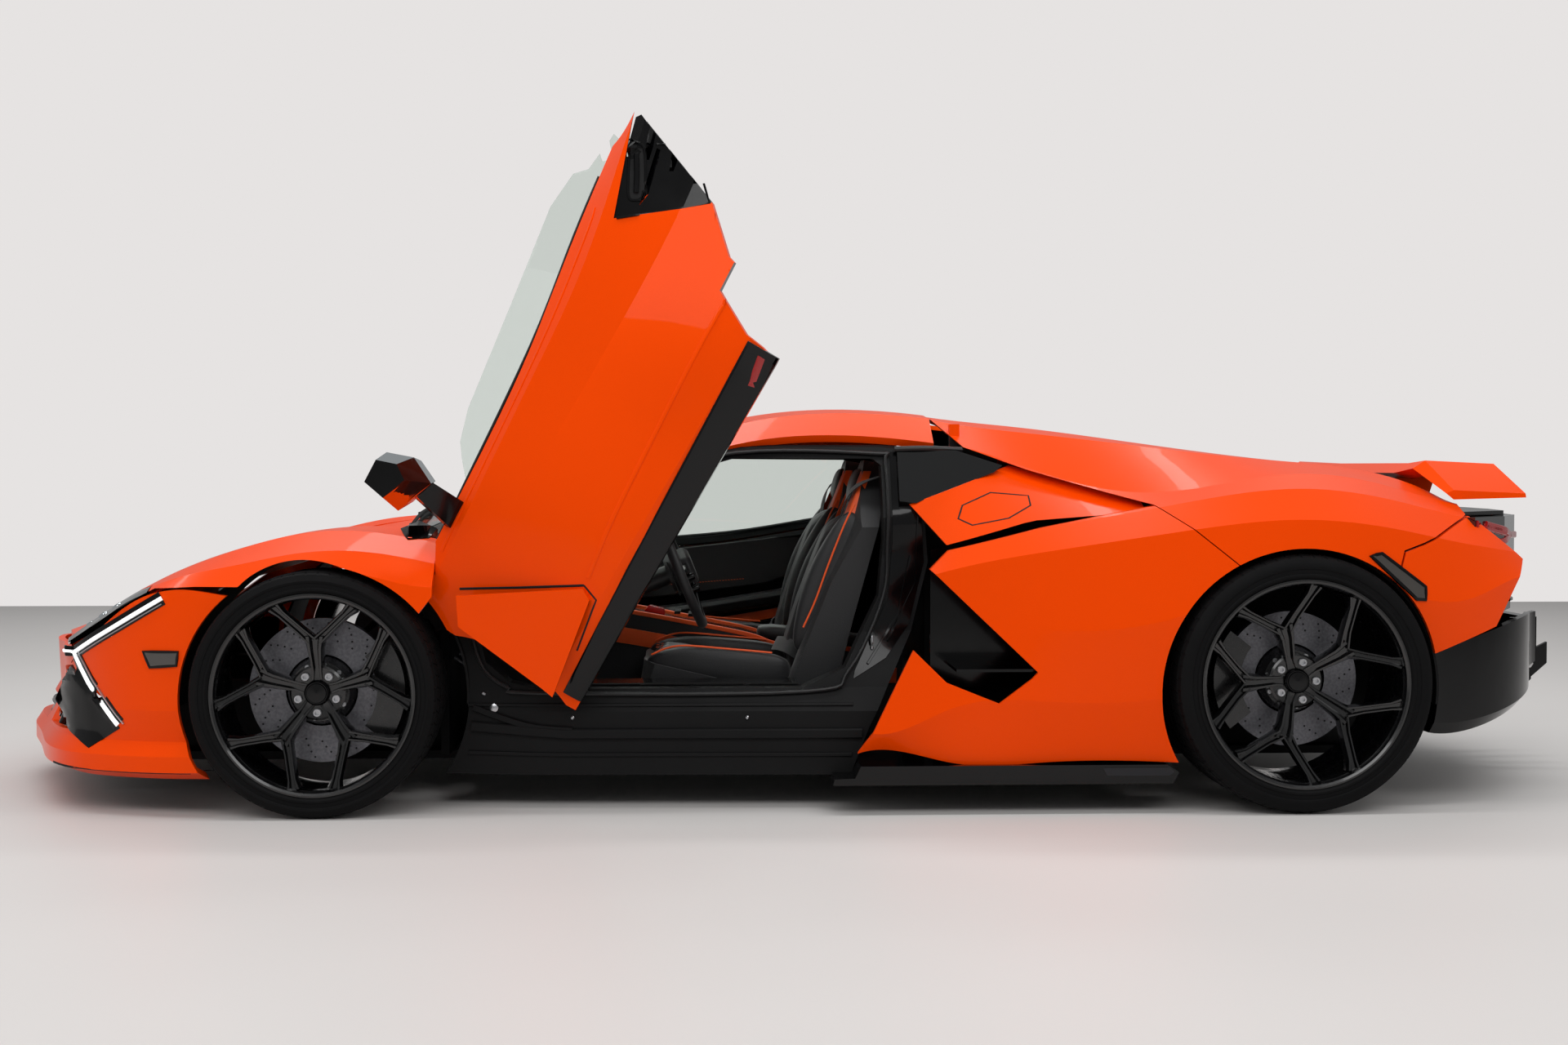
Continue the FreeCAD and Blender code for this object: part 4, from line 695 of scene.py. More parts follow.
def spoke(width, hub_y, node_y, tip_y, rim_r):
    """One Y-shaped spoke that points up, as points and faces about the axle."""
    node_r = rim_r * 0.575
    shape = ((-0.5, -0.5), (-0.5, 0.12), (-0.38, 0.5), (-0.24, 0.5), (-0.12, 0.2), (0.12, 0.2), (0.24, 0.5),
             (0.38, 0.5), (0.5, 0.12), (0.5, -0.5))
    out = Vector((0, 1, 0))

    def beam(steps, depth):
        centres = [polar(r, math.pi / 2 + math.radians(a), y) for a, r, y, _ in steps]
        flat = [Vector((c.x, 0, c.z)) for c in centres]
        reach = flat[-1] - flat[0]
        for c, f in zip(centres, flat):
            straight = flat[0] + reach * ((f - flat[0]).dot(reach) / reach.length_squared)
            c.x, c.z = straight.x, straight.z
        along = centres[-1] - centres[0]
        side = out.cross(Vector((along.x, 0, along.z))).normalized()
        return loft([[c + side * w * a + out * depth * (b - 0.5) for a, b in shape]
                     for c, (_, _, _, w) in zip(centres, steps)])

    parts = [beam([(0, 0.034, hub_y + 0.01, width * 0.8), (0, 0.06, hub_y + 0.014, width * 0.66),
                   (0, node_r * 0.8, node_y - 0.003, width * 0.94), (0, node_r * 1.03, node_y, width * 1.25)],
                  0.04)]
    for turn in (-1, 1):
        parts.append(beam([(turn * 3.0, node_r * 0.95, node_y - 0.0005, width * 0.7),
                           (turn * 9.0, rim_r * 0.7, node_y + 0.003, width * 0.56),
                           (turn * 20.0, rim_r * 0.9, tip_y - 0.005, width * 0.56),
                           (turn * 24.0, rim_r * 0.985, tip_y, width * 0.86)], 0.034))
    return parts


def wheel_parts(half, tyre_r, seat, inset, sizes):
    """Rim, bolts, hub cap and tyre about the axle, outward along +Y."""
    lip = half - LIP_IN
    inner = seat - 0.011
    hub_y = lip - inset - 0.015
    node_y = lip - inset * 0.5
    tip_y = lip - 0.012
    barrel = [(-lip, seat), (-lip, seat - 0.006), (-lip + 0.02, inner), (-0.02, inner - 0.006),
              (lip - 0.06, inner - 0.002), (lip - 0.052, inner - 0.006), (lip - 0.018, inner - 0.006),
              (lip - 0.012, inner - 0.002), (lip - 0.004, inner), (lip, seat - 0.005), (lip, seat),
              (lip - 0.008, seat), (0.0, seat - 0.002), (-lip + 0.008, seat)]
    rim = [revolved(barrel, 120, closed=True)]
    arms = spoke(sizes.spoke_width, hub_y, node_y, tip_y, inner)
    rim.append(repeated(arms, SPOKES, math.tau / SPOKES, "rim"))
    hub = [(hub_y - 0.025, 0.036), (hub_y - 0.025, 0.078), (hub_y + 0.004, 0.078), (hub_y + 0.008, 0.072),
           (hub_y + 0.006, 0.05), (hub_y + 0.006, 0.036)]
    rim.append(revolved(hub, 60, closed=True))
    cap = [(hub_y + 0.004, 0.0005), (hub_y + 0.004, 0.0345), (hub_y + 0.02, 0.0345), (hub_y + 0.022, 0.0325),
           (hub_y + 0.02, 0.0305), (hub_y + 0.02, 0.0285), (hub_y + 0.023, 0.0265), (hub_y + 0.024, 0.0005)]
    bolt = [(hub_y + 0.002, 0.0004), (hub_y + 0.002, 0.0125), (hub_y + 0.014, 0.0125),
            (hub_y + 0.016, 0.0105), (hub_y + 0.016, 0.0065), (hub_y + 0.008, 0.006), (hub_y + 0.008, 0.0004)]
    first = set_at(revolved(bolt, 12), polar(BOLT_CIRCLE, math.radians(90 + 36)))
    bolts = repeated([first], SPOKES, math.tau / SPOKES, "steel")
    tread = half * 0.84
    floor = tyre_r - sizes.groove
    profile = [(-half + 0.012, seat - 0.001), (-half + 0.004, seat + 0.008), (-half + 0.001, seat + 0.03),
               (-half, seat + 0.036), (-half + 0.003, tyre_r - 0.022), (-half + 0.01, tyre_r - 0.011),
               (-tread, floor), (tread, floor), (half - 0.01, tyre_r - 0.011), (half - 0.003, tyre_r - 0.022),
               (half, seat + 0.036), (half - 0.0012, seat + 0.03), (half - 0.0035, seat + 0.028),
               (half - 0.0035, seat + 0.0165), (half - 0.001, seat + 0.0145), (half - 0.001, seat + 0.009),
               (half - 0.005, seat + 0.004), (half - 0.012, seat - 0.001)]
    tyre = [revolved(profile, 144, closed=True)]
    pitch = math.tau / sizes.blocks
    ribs = [(-1.0, -0.62), (-0.56, -0.22), (-0.16, 0.16), (0.22, 0.56), (0.62, 1.0)]
    blocks = []
    for k, (a, b) in enumerate(ribs):
        y0, y1 = a * tread, b * tread
        skew = pitch * 0.18 * (1 if k % 2 else -1)
        rings = []
        for r in (floor - 0.001, tyre_r):
            ring = []
            for y, ang in ((y0, -0.46 * pitch + skew), (y1, -0.46 * pitch - skew), (y1, -skew),
                           (y1, 0.46 * pitch - skew), (y0, 0.46 * pitch + skew), (y0, skew)):
                top = tyre_r - 0.0035 if k in (0, 4) and r == tyre_r and abs(y) > 0.95 * tread else r
                ring.append(polar(top, ang, y))
            rings.append(ring)
        blocks.append(loft(rings))
    # Shoulder ribs: the tread's cuts run a little way down the side wall
    for side in (-1, 1):
        y0, y1 = side * (half - 0.0035), side * (half - 0.011)
        ring = [[polar(r, ang, y) for ang in (-0.42 * pitch, 0.42 * pitch)]
                for y, r in ((side * tread, tyre_r - 0.0045), (y1, tyre_r - 0.0095),
                             (y0 + side * 0.0014, tyre_r - 0.026), (y0 - side * 0.004, tyre_r - 0.026),
                             (side * (tread - 0.004), tyre_r - 0.01))]
        blocks.append(loft([[row[0] for row in ring], [row[1] for row in ring]]))
    tyre.append(repeated(blocks, sizes.blocks, pitch, "tyre"))
    return {"rim": rim, "cap": [revolved(cap, 48)], "bolts": [bolts], "tyre": tyre}


def disc_parts(radius, face_y, bell_y):
    """Drill holes and bell bolts of a brake disc, about the axle."""
    # Each hole is a shallow dark cup on the disc's face, painted shade for its inside
    hole = revolved([(0.0, 0.0004), (0.0, 0.003), (-0.002, 0.003)], 8)
    rows = [set_at(hole, polar(r, math.radians(k * 4.0), face_y + 0.0006))
            for k, r in enumerate((0.146, 0.162, 0.178, 0.192)) if r <= radius - 0.008]
    holes = repeated(rows, 20, math.tau / 20, "dark")
    bolt = revolved([(-0.004, 0.0004), (-0.004, 0.0085), (0.003, 0.0085), (0.0045, 0.007), (0.0045, 0.003),
                     (0.001, 0.0028), (0.001, 0.0004)], 12)
    first = set_at(bolt, polar(BELL_BOLTS_R, math.radians(8), bell_y))
    return holes, repeated([first], 10, math.tau / 10, "steel")


def disc_rule(axle):
    """Grey friction ring, black bell."""
    def rule(centre, _):
        return 1 if math.hypot(centre.x - axle.x, centre.z - axle.z) < BELL_R else 0
    return rule


def knuckle_rule(centre, _):
    """Black caliper beside the disc's edge, cast upright elsewhere."""
    x, _, _, height, *_ = AXLES["front" if centre.x < 0 else "rear"]
    return 1 if math.hypot(centre.x - x, centre.z - height) > CALIPER_R else 0


class CAR_OT_wheels(bpy.types.Operator):
    """Rims, tyres, hub caps, bolts and disc drillings"""
    bl_idname = "sports_car.wheels"
    bl_label = "Wheels"

    def execute(self, context):
        sizes = context.scene.car_sizes
        for end, (x, y, half, tyre_r, seat, start, inset, disc_r) in AXLES.items():
            parts = wheel_parts(half, tyre_r, seat, inset, sizes)
            bell = half - LIP_IN - inset - 0.04
            holes, bolts = disc_parts(disc_r, bell - 0.036, bell)
            for side, label in SIDES:
                name = f"{end}_{label}"
                centre = Vector((x, side * y, tyre_r))
                place = (Matrix.Translation(centre) @ Matrix.Scale(side, 4, Vector((0, 1, 0)))
                         @ Matrix.Rotation(-math.radians(start - 90), 4, "Y"))

                def put(what, shapes, mat, slot=None, **options):
                    verts, faces = joined(shapes)
                    return piece(f"{what}_{name}", [(moved(verts, place), faces)], mat, slot, "wheel_" + name,
                                 **options)

                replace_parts(put("spoked_rim", parts["rim"], "rim", smooth=30), "rim_" + name)
                put("hub_cap", parts["cap"], "gloss", "rim_black")
                put("wheel_bolts", parts["bolts"], "steel", "brake_disc")
                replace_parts(put("treaded_tyre", parts["tyre"], "tyre", smooth=28), "tyre_" + name)
                paint_faces("brake_disc_" + name, ["disc", "caliper"], disc_rule(centre))
                # The drillings are dark: painted shade in the holes
                put("disc_drillings", [holes], "dark", "brake_disc")
                put("bell_bolts", [bolts], "steel", "brake_disc")
        for name in ("knuckle_front_left", "knuckle_front_right", "knuckles_rear"):
            paint_faces(name, ["cast", "caliper"], knuckle_rule)
        return {"FINISHED"}


# The handle recess's outline on the shut door, as (x, z)
RECESS = [(0.192, 0.705), (0.362, 0.494), (0.7, 0.494), (0.7, 0.826), (0.486, 0.812)]
RIGHT_DOOR = ["door_right"]


def door_rule(centre, normal):
    """Paint outside, black in the handle recess, on the beam and inside."""
    if normal.y > 0.25:
        return 2
    if inside((centre.x, centre.z), RECESS) and normal.y < 0.2:
        return 1
    return 1 if normal.z < -0.75 else 0


def mirror_rule(centre, normal):
    """Paint on the mirror's front, glass at its rear, gloss black elsewhere."""
    if centre.y > -0.972:
        return 1
    if normal.x > 0.85 and normal.y > -0.35:
        return 2
    return 0 if normal.x < -0.5 or (normal.x < -0.25 and centre.x < -0.735) else 1


def door_line(points, width, height, **options):
    """A band on the outer skin of the shut left door."""
    return line_on(RIGHT_DOOR, points, width, height, mirrored=True, **options)


class CAR_OT_doors(bpy.types.Operator):
    """Door beams, recesses, handles, seals, inner panels and mirror finishes"""
    bl_idname = "sports_car.doors"
    bl_label = "Doors"

    def execute(self, context):
        for label, back in (("left", LEFT_OPEN.inverted()), ("right", MIRROR)):
            paint_faces("door_" + label, ["paint", "gloss", "matte"], door_rule, back)
            paint_faces("mirror_" + label, ["paint", "gloss", "mirror"], mirror_rule, back)
        # The dark beam under the door: a swept section that wraps the lower edge
        rings = []
        for x in (-1.03, -1.01, -0.952, -0.8, -0.62, -0.4, -0.18, 0.0, 0.07, 0.092):
            top = 0.17 + 0.036 * (x + 0.952)
            (outer, _), (low, _) = drape(RIGHT_DOOR, [(x, top), (x, 0.13)], mirrored=True)
            rings.append([(x, outer.y - 0.0025, top), (x, outer.y - 0.005, top - 0.006),
                          (x, low.y - 0.005, 0.118), (x, low.y + 0.004, 0.11), (x, low.y + 0.052, 0.11),
                          (x, low.y + 0.055, top - 0.02), (x, outer.y + 0.02, top)])
        door_pieces("door_beam", [loft(rings)], "gloss", bevel=0.0015)
        # Reflector at the beam's rear end, in the red finish with its faint painted glow
        spots = drape(RIGHT_DOOR, [(-0.012, 0.138), (0.03, 0.146), (0.074, 0.154)], mirrored=True)
        reflector = [(p + Vector((0, -0.0055, 0)), n) for p, n in spots]
        door_pieces("door_reflector", [ribbon(reflector, 0.024, 0.003)], "red")
        # Handle recess: the pocket as a dark patch of painted shade, its rim and the lever
        spots = [p for p, _ in drape(RIGHT_DOOR, [(0.29, 0.7), (0.355, 0.56), (0.385, 0.72)], mirrored=True)]
        level = (spots[1] - spots[0]).cross(spots[2] - spots[0])
        outline = [(0.33, 0.735), (0.372, 0.778), (0.466, 0.809), (0.48, 0.8), (0.44, 0.7), (0.4, 0.64)]
        floor = [Vector((x, spots[0].y - ((x - spots[0].x) * level.x + (z - spots[0].z) * level.z) / level.y
                         + 0.001, z)) for x, z in outline]
        door_pieces("recess_floor", [slab(floor, (0, 0.004, 0))], "gloss")
        pocket = [(0.383, 0.766), (0.4, 0.735), (0.292, 0.669), (0.265, 0.682), (0.263, 0.702),
                  (0.303, 0.728)]
        door_pieces("handle_pocket", [patch(RIGHT_DOOR, pocket, 0.001, 0.002, 0.02, mirrored=True)], "dark")
        rim = door_line(pocket, 0.007, 0.006, closed=True, step=0.015, soft=True)
        facet = door_line([(0.402, 0.776), (0.408, 0.752), (0.44, 0.69)], 0.006, 0.004)
        door_pieces("handle_rim", [rim, facet], "gloss")
        lever = door_line([(0.284, 0.691), (0.33, 0.716), (0.378, 0.746)], 0.015, 0.011, step=0.02)
        door_pieces("handle_lever", [lever], "gloss", bevel=0.001)
        edge = door_line([(0.196, 0.698), (0.362, 0.5), (0.4, 0.54)], 0.006, 0.004)
        door_pieces("recess_edge", [edge], "gloss")
        # Belt seals beside the glass
        belt = [(-0.84, -0.858, 0.694), (-0.7, -0.852, 0.702), (-0.234, -0.83, 0.738), (0.1, -0.794, 0.791),
                (0.27, -0.776, 0.814)]
        door_pieces("belt_seal", [tube(smooth_path(belt, 5), 0.014, 0.01, 8)], "rubber")
        # Gap above the vane and its separate rear strip, as dark bands of painted shade
        gap = door_line([(-0.925, 0.566), (-0.83, 0.42), (-0.724, 0.262)], 0.007, 0.0012)
        strip = door_line([(-0.724, 0.262), (-0.742, 0.212), (-0.9, 0.19)], 0.005, 0.0012)
        door_pieces("vane_gap", [gap, strip], "dark")
        # Creases beside the belt and below the shoulder, as fine raised lines in the paint
        belt_line = [(-0.86, 0.664), (-0.234, 0.708), (0.1, 0.752), (0.19, 0.772)]
        shoulder = [(-0.7, 0.262), (-0.478, 0.288), (-0.026, 0.312), (0.16, 0.316)]
        creases = [door_line(belt_line, 0.01, 0.0022, soft=True),
                   door_line(shoulder, 0.012, 0.0025, soft=True)]
        door_pieces("door_creases", creases, "paint")
        self.inner()
        return {"FINISHED"}

    def inner(self):
        """Door panels: an armrest, an orange strip, stitching and a speaker grille."""
        wall = -0.792
        armrest = [[(x, wall, z), (x, wall + 0.052, z + 0.012), (x, wall + 0.06, z + 0.04),
                    (x, wall + 0.05, z + 0.055), (x, wall, z + 0.06)]
                   for x, z in ((-0.8, 0.4), (-0.55, 0.4), (-0.3, 0.43), (-0.05, 0.47), (0.06, 0.5))]
        armrest[0] = [(x, y - 0.02 if y > wall else y, z) for x, y, z in armrest[0]]
        door_pieces("door_armrest", [loft(armrest)], "leather", bevel=0.004)
        line = ((-0.82, 0.372), (-0.55, 0.378), (-0.25, 0.408), (0.0, 0.45), (0.08, 0.475))
        strip = [(x, wall + 0.004, z) for x, z in line]
        door_pieces("door_orange_strip", [tube(strip, 0.006, 0.034, square=True)], "orange_leather")
        upper = [[(x, wall, z0), (x, wall + 0.016, z0), (x, wall + 0.01, z1), (x, wall, z1)]
                 for x, z0, z1 in ((-0.86, 0.5, 0.655), (-0.5, 0.5, 0.67), (-0.1, 0.55, 0.715),
                                   (0.05, 0.6, 0.74))]
        door_pieces("door_upper_panel", [loft(upper)], "leather", bevel=0.004)
        lower = [[(x, wall, 0.2), (x, wall + 0.012, 0.2), (x, wall + 0.018, z1), (x, wall, z1)]
                 for x, z1 in ((-0.86, 0.352), (-0.5, 0.36), (-0.05, 0.42))]
        door_pieces("door_lower_panel", [loft(lower)], "matte", bevel=0.004)
        stitch = tube([(0, 0, 0), (0.006, 0, 0)], 0.0022, sides=6)
        row = [set_at(stitch, (-0.8, wall + 0.0185, 0.52))]
        door_pieces("door_stitches", [repeated(row, 60, (0.0105, 0, 0.0008), "thread", turn=False)], "thread")
        # The grille's holes are small dark domes, painted shade in the perforations
        hole = revolved([(0.0, 0.0003), (0.0014, 0.003), (0.0, 0.0036)], 6)
        turn = Matrix.Rotation(math.pi, 4, "X")
        dots = []
        for k, r in enumerate((0.014, 0.026, 0.038, 0.05)):
            count = 6 * (k + 1)
            start = moved(hole[0], Matrix.Translation((r, 0, 0)) @ turn)
            ring = repeated([(start, hole[1])], count, math.tau / count, "dark")
            dots.append(set_at(ring, (-0.72, wall + 0.0155, 0.285)))
        door_pieces("speaker_grille", dots, "dark", "matte_black")


# What the front lamps' trim lies on
LAMP_SKIN = ["headlamps", "nose", "front_fender_left"]


class CAR_OT_front(bpy.types.Operator):
    """Lamps, light guides, marker lenses, intake blades and wipers"""
    bl_idname = "sports_car.front"
    bl_label = "Front"

    def execute(self, context):
        guide = [[(-1.828, 0.616), (-1.956, 0.543), (-2.05, 0.491), (-2.122, 0.45)],
                 [(-2.122, 0.45), (-2.066, 0.371), (-1.968, 0.256)],
                 [(-2.122, 0.45), (-2.158, 0.452), (-2.195, 0.444)]]
        housings = [line_on(LAMP_SKIN, points, w, 0.003) for points, w in zip(guide, (0.04, 0.052, 0.03))]
        side_pieces("lamp_bezel", housings, "gloss", bevel=0.0006)
        lit = [line_on(LAMP_SKIN, points, w, 0.008) for points, w in zip(guide, (0.012, 0.014, 0.008))]
        side_pieces("light_guide", lit, "guide")
        edge = [line_on(LAMP_SKIN, [(a, b - 0.016) for a, b in guide[0]], 0.004, 0.006),
                line_on(LAMP_SKIN, [(a + 0.018, b + 0.004) for a, b in guide[1]], 0.004, 0.006)]
        side_pieces("lamp_edge", edge, "steel", "lamp_front")
        # Projector lenses under the lid's edge
        lenses = []
        for x, w in ((-2.1, 0.7), (-2.045, 0.765), (-1.99, 0.815)):
            (spot, normal), = drape(["headlamps"], [(x, -w)], "top")
            disc = revolved([(0.004, 0.0004), (0.0035, 0.01), (0.0, 0.016), (-0.004, 0.018)], 20)
            lenses.append(stood_on(disc, spot, normal))
        side_pieces("projector_lenses", lenses, "mirror")
        # Dark cheek between the light guide and the lower intake, with two blades
        cheek = [(-2.122, 0.44), (-2.165, 0.395), (-2.205, 0.306), (-2.16, 0.232), (-2.062, 0.186),
                 (-1.964, 0.246), (-2.06, 0.366)]
        side_pieces("intake_cheek", [patch(["nose"], cheek, 0.002, 0.006, 0.02)], "gloss")
        blades = [line_on(["nose_inserts"], [(-0.36, z), (-0.6, z + 0.016), (-0.86, z + 0.01)], 0.014, 0.018,
                          "nose", step=0.04) for z in (0.25, 0.29, 0.33)]
        blades.append(line_on(["nose_inserts"], [(-0.62, 0.225), (-0.64, 0.39)], 0.016, 0.019, "nose",
                              step=0.04))
        side_pieces("intake_blades", blades, "gloss")
        marker = [(-1.885, 0.466), (-1.785, 0.466), (-1.79, 0.428), (-1.866, 0.422)]
        side_pieces("front_marker_lens", [patch(["nose"], marker, 0.003, 0.005, 0.02)], "marker")
        side_pieces("front_marker_frame", [line_on(["nose"], marker, 0.008, 0.005, closed=True)], "gloss")
        slats = [line_on(["nose_inserts"], [(-0.52, z), (-0.26, z), (0.0, z), (0.26, z), (0.52, z)], 0.012,
                         0.014, "nose", step=0.05) for z in (0.235, 0.27, 0.305, 0.34)]
        piece("front_grille_slats", slats, "gloss")
        # Gap above the splitter, as a dark band of painted shade
        gap = line_on(["nose"], [(-1.7, 0.125), (-1.95, 0.125), (-2.2, 0.13)], 0.006, 0.001)
        side_pieces("splitter_gap", [gap], "dark", "matte_black")
        # Wipers at rest on the screen
        arms = []
        screen = ["windscreen", "cowl", "front_lid"]
        for points in ([(-1.225, -0.5), (-1.19, -0.3), (-1.15, -0.06)],
                       [(-1.24, -0.02), (-1.2, 0.2), (-1.14, 0.44)]):
            arm = [p + n * 0.018 for p, n in drape(screen, points, "top")]
            arms.append(tube(smooth_path(arm, 5), 0.014, 0.008, 8))
            shifted = [(a + 0.012, b - 0.1) for a, b in points]
            blade = [p + n * 0.007 for p, n in drape(screen, shifted, "top")]
            arms.append(tube(smooth_path(blade, 5), 0.008, 0.014, 8))
        piece("wipers", arms, "matte")
        # Dark corner panel between fender and front pillar
        corner = [(-1.205, 0.8), (-1.15, 0.822), (-1.098, 0.8), (-1.098, 0.775), (-1.17, 0.772)]
        around = ["front_fender_left", "roof", "door_frame_left"]
        side_pieces("pillar_corner", [patch(around, corner, 0.002, 0.005, 0.02)], "gloss")
        return {"FINISHED"}


# The exhaust tips' distance from the centre plane and height
TIP_Y = 0.135
TIP_Z = 0.655


def hoop_rule(centre, _):
    """Paint where the tub's rear hoop shows between the roof and the quarters."""
    return 1 if centre.z > 1.05 and 0.3 < centre.x < 0.5 else 0


class CAR_OT_rear(bpy.types.Operator):
    """Fuel flap, markers, lamps, deck slats, tail grille bars, exhaust and plate"""
    bl_idname = "sports_car.rear"
    bl_label = "Rear"

    def execute(self, context):
        # The flap's shut line is a dark band of painted shade
        flap = [(0.415, 0.83), (0.432, 0.868), (0.52, 0.905), (0.632, 0.896), (0.632, 0.868), (0.56, 0.832),
                (0.452, 0.812)]
        side_pieces("fuel_flap_gap", [line_on(["flap_panels"], flap, 0.005, 0.0008, closed=True)], "dark",
                    "body_paint")
        paint_faces("body_tub", ["matte", "paint"], hoop_rule)
        seal = [(0.246, -0.606, 1.034), (0.34, -0.606, 1.036), (0.45, -0.59, 1.032)]
        side_pieces("quarter_top_seal", [tube(smooth_path(seal, 5), 0.02, 0.016, 8)], "rubber")
        marker = [(1.556, 0.73), (1.59, 0.736), (1.722, 0.64), (1.722, 0.604), (1.694, 0.606)]
        tail_side = ["rear_bumper", "rear_quarter_left"]
        side_pieces("rear_marker_lens", [patch(tail_side, marker, 0.003, 0.005, 0.02)], "marker", "lamp_rear")
        side_pieces("rear_marker_frame", [line_on(tail_side, marker, 0.01, 0.005, closed=True)], "gloss")
        plate = [(0.8, 0.132), (0.99, 0.132), (1.004, 0.12), (0.99, 0.11), (0.812, 0.11)]
        side_pieces("skirt_plate", [patch(["side_skirts"], plate, 0.003, 0.004, 0.02)], "cast", "gloss_black")
        # Louvres over the engine
        louvre = [(-0.034, -0.46, 0.006), (0.034, -0.46, 0.026), (0.034, 0.46, 0.026), (-0.034, 0.46, 0.006)]
        (first, _), (last, _) = drape(["engine_deck"], [(0.52, 0.0), (1.56, 0.0)], "top")
        count = 12
        step = (last - first) / (count - 1)
        one = slab([first + Vector(p) for p in louvre], (0, 0, 0.007))
        piece("deck_louvres", [repeated([one], count, step, "gloss", turn=False)], "gloss", bevel=0.001)
        # Rear lamps: red Y-shaped guides in smoked housings
        ways = [[(-0.42, 0.77), (-0.62, 0.776), (-0.8, 0.812)], [(-0.62, 0.776), (-0.8, 0.744)]]
        rear_guides = [line_on(["tail_lamps"], points, 0.02, 0.008, "tail", step=0.02) for points in ways]
        rear_guides += [line_on(["tail_lamps"], [(1.92, 0.815), (1.985, 0.8), (2.06, 0.785)], 0.02, 0.008)]
        side_pieces("tail_light_guide", rear_guides, "red")
        bars = [line_on(["tail_panel"], [(-0.56, z), (-0.3, z), (0, z), (0.3, z), (0.56, z)], 0.01, 0.01,
                        "tail", step=0.05) for z in (0.575, 0.6, 0.625)]
        piece("tail_grille_bars", bars, "gloss")
        # Exhaust: hexagonal tips, with a dark plate in each bore as painted shade
        for side, label in SIDES:
            sizes = ((2.2, 0.0915), (2.252, 0.0915), (2.2515, 0.088), (2.249, 0.0835), (2.19, 0.08))
            rings = [[(x, side * TIP_Y + a, TIP_Z + b) for a, b in hexagon(r)] for x, r in sizes]
            piece("exhaust_tip_" + label, [loft(rings, caps=False)], "steel", bevel=0.001)
            bore = [(2.12, side * TIP_Y + a, TIP_Z + b) for a, b in hexagon(0.083)]
            piece("exhaust_baffle_" + label, [slab(bore, (0.004, 0, 0))], "dark", "exhaust_steel")
        # Blank number plate on its holder, with two screws
        board = [(2.338, y, z) for y, z in corners(-0.26, 0.26, 0.388, 0.498)]
        piece("blank_plate", [slab(board, (0.003, 0, 0))], "plate", bevel=0.001)
        screws = []
        for y in (-0.145, 0.145):
            screw = revolved([(0.004, 0.0004), (0.004, 0.003), (0.002, 0.0052), (-0.004, 0.0055)], 12)
            turn = Matrix.Translation((2.341, y, 0.44)) @ Matrix.Rotation(-math.pi / 2, 4, "Z")
            screws.append((moved(screw[0], turn), screw[1]))
        piece("plate_screws", screws, "steel")
        return {"FINISHED"}


FRAME_LEFT = ["door_frame_left"]
# The doorway's edge, as (x, z)
DOORWAY = [(-0.8, 0.333), (-0.035, 0.333), (0.095, 0.392), (0.2, 0.596), (0.217, 0.76), (0.217, 0.99),
           (0.186, 1.018), (-0.228, 1.02), (-0.545, 0.931), (-0.788, 0.844), (-0.972, 0.706), (-0.998, 0.558),
           (-0.962, 0.412), (-0.888, 0.35)]


class CAR_OT_sills(bpy.types.Operator):
    """Sill steps, doorway seals, pillar covers, strikers and studs"""
    bl_idname = "sports_car.sills"
    bl_label = "Sills and doorways"

    def execute(self, context):
        width = context.scene.car_sizes.seal_width
        outline = [tuple(p[:2]) for p in smooth_path([(x, z, 0) for x, z in DOORWAY], 6, True)]
        path = [p + n * 0.006 for p, n in drape(FRAME_LEFT, outline)]
        side_pieces("doorway_seal", [tube(path, width * 0.6, width, 8, closed=True, up=(0, 1, 0))], "rubber")
        steps = [line_on(FRAME_LEFT, [(-1.0, 0.298), (-0.72, 0.298), (0.105, 0.298)], 0.01, 0.005),
                 line_on(FRAME_LEFT, [(-0.99, 0.236), (-0.72, 0.216), (0.13, 0.216)], 0.03, 0.012),
                 line_on(FRAME_LEFT, [(-1.0, 0.16), (-0.72, 0.156), (0.1, 0.156)], 0.012, 0.006),
                 line_on(FRAME_LEFT, [(-0.985, 0.29), (-0.83, 0.24), (-0.7, 0.226)], 0.02, 0.01, soft=True)]
        side_pieces("sill_steps", steps, "matte", bevel=0.001)
        tread = [[(x, y, z) for y, z in corners(-0.766, -0.64, 0.35, 0.354)] for x in (-0.78, -0.05)]
        side_pieces("sill_plate", [loft(tread)], "gloss")
        cover = [(0.108, 0.368), (0.205, 0.424), (0.278, 0.52), (0.325, 0.7), (0.316, 0.852), (0.252, 0.856),
                 (0.252, 1.024), (0.232, 1.024), (0.232, 0.76), (0.216, 0.594), (0.112, 0.39)]
        side_pieces("pillar_cover", [patch(FRAME_LEFT, cover, 0.003, 0.006, 0.025)], "gloss")
        folds = [line_on(FRAME_LEFT, [(0.15, 0.408), (0.245, 0.545), (0.285, 0.72)], 0.008, 0.008),
                 line_on(FRAME_LEFT, [(0.212, 0.47), (0.3, 0.64), (0.306, 0.84)], 0.006, 0.007)]
        side_pieces("pillar_folds", folds, "gloss")
        (spot, _), = drape(FRAME_LEFT, [(0.178, 0.47)])
        loop = [spot + Vector(p) for p in ((-0.012, 0.002, 0.018), (-0.012, -0.016, 0.018),
                                           (-0.012, -0.018, -0.018), (-0.012, 0.002, -0.018))]
        side_pieces("door_striker", [tube(smooth_path(loop, 4), 0.007, sides=8)], "steel")
        studs = []
        for x, z, r in ((-0.925, 0.29, 0.013), (-0.955, 0.33, 0.006), (-0.955, 0.24, 0.006),
                        (-0.7, 0.262, 0.006), (-0.2, 0.262, 0.006)):
            (spot, normal), = drape(FRAME_LEFT, [(x, z)])
            head = revolved([(0.007, 0.0004), (0.007, r * 0.55), (0.004, r), (-0.003, r)], 12)
            studs.append(stood_on(head, spot, normal))
        side_pieces("frame_studs", studs, "steel")
        return {"FINISHED"}


# Cabin: the seats' and the steering wheel's distance from the centre plane
SEAT_Y = 0.37
DRIVER_Y = -0.375


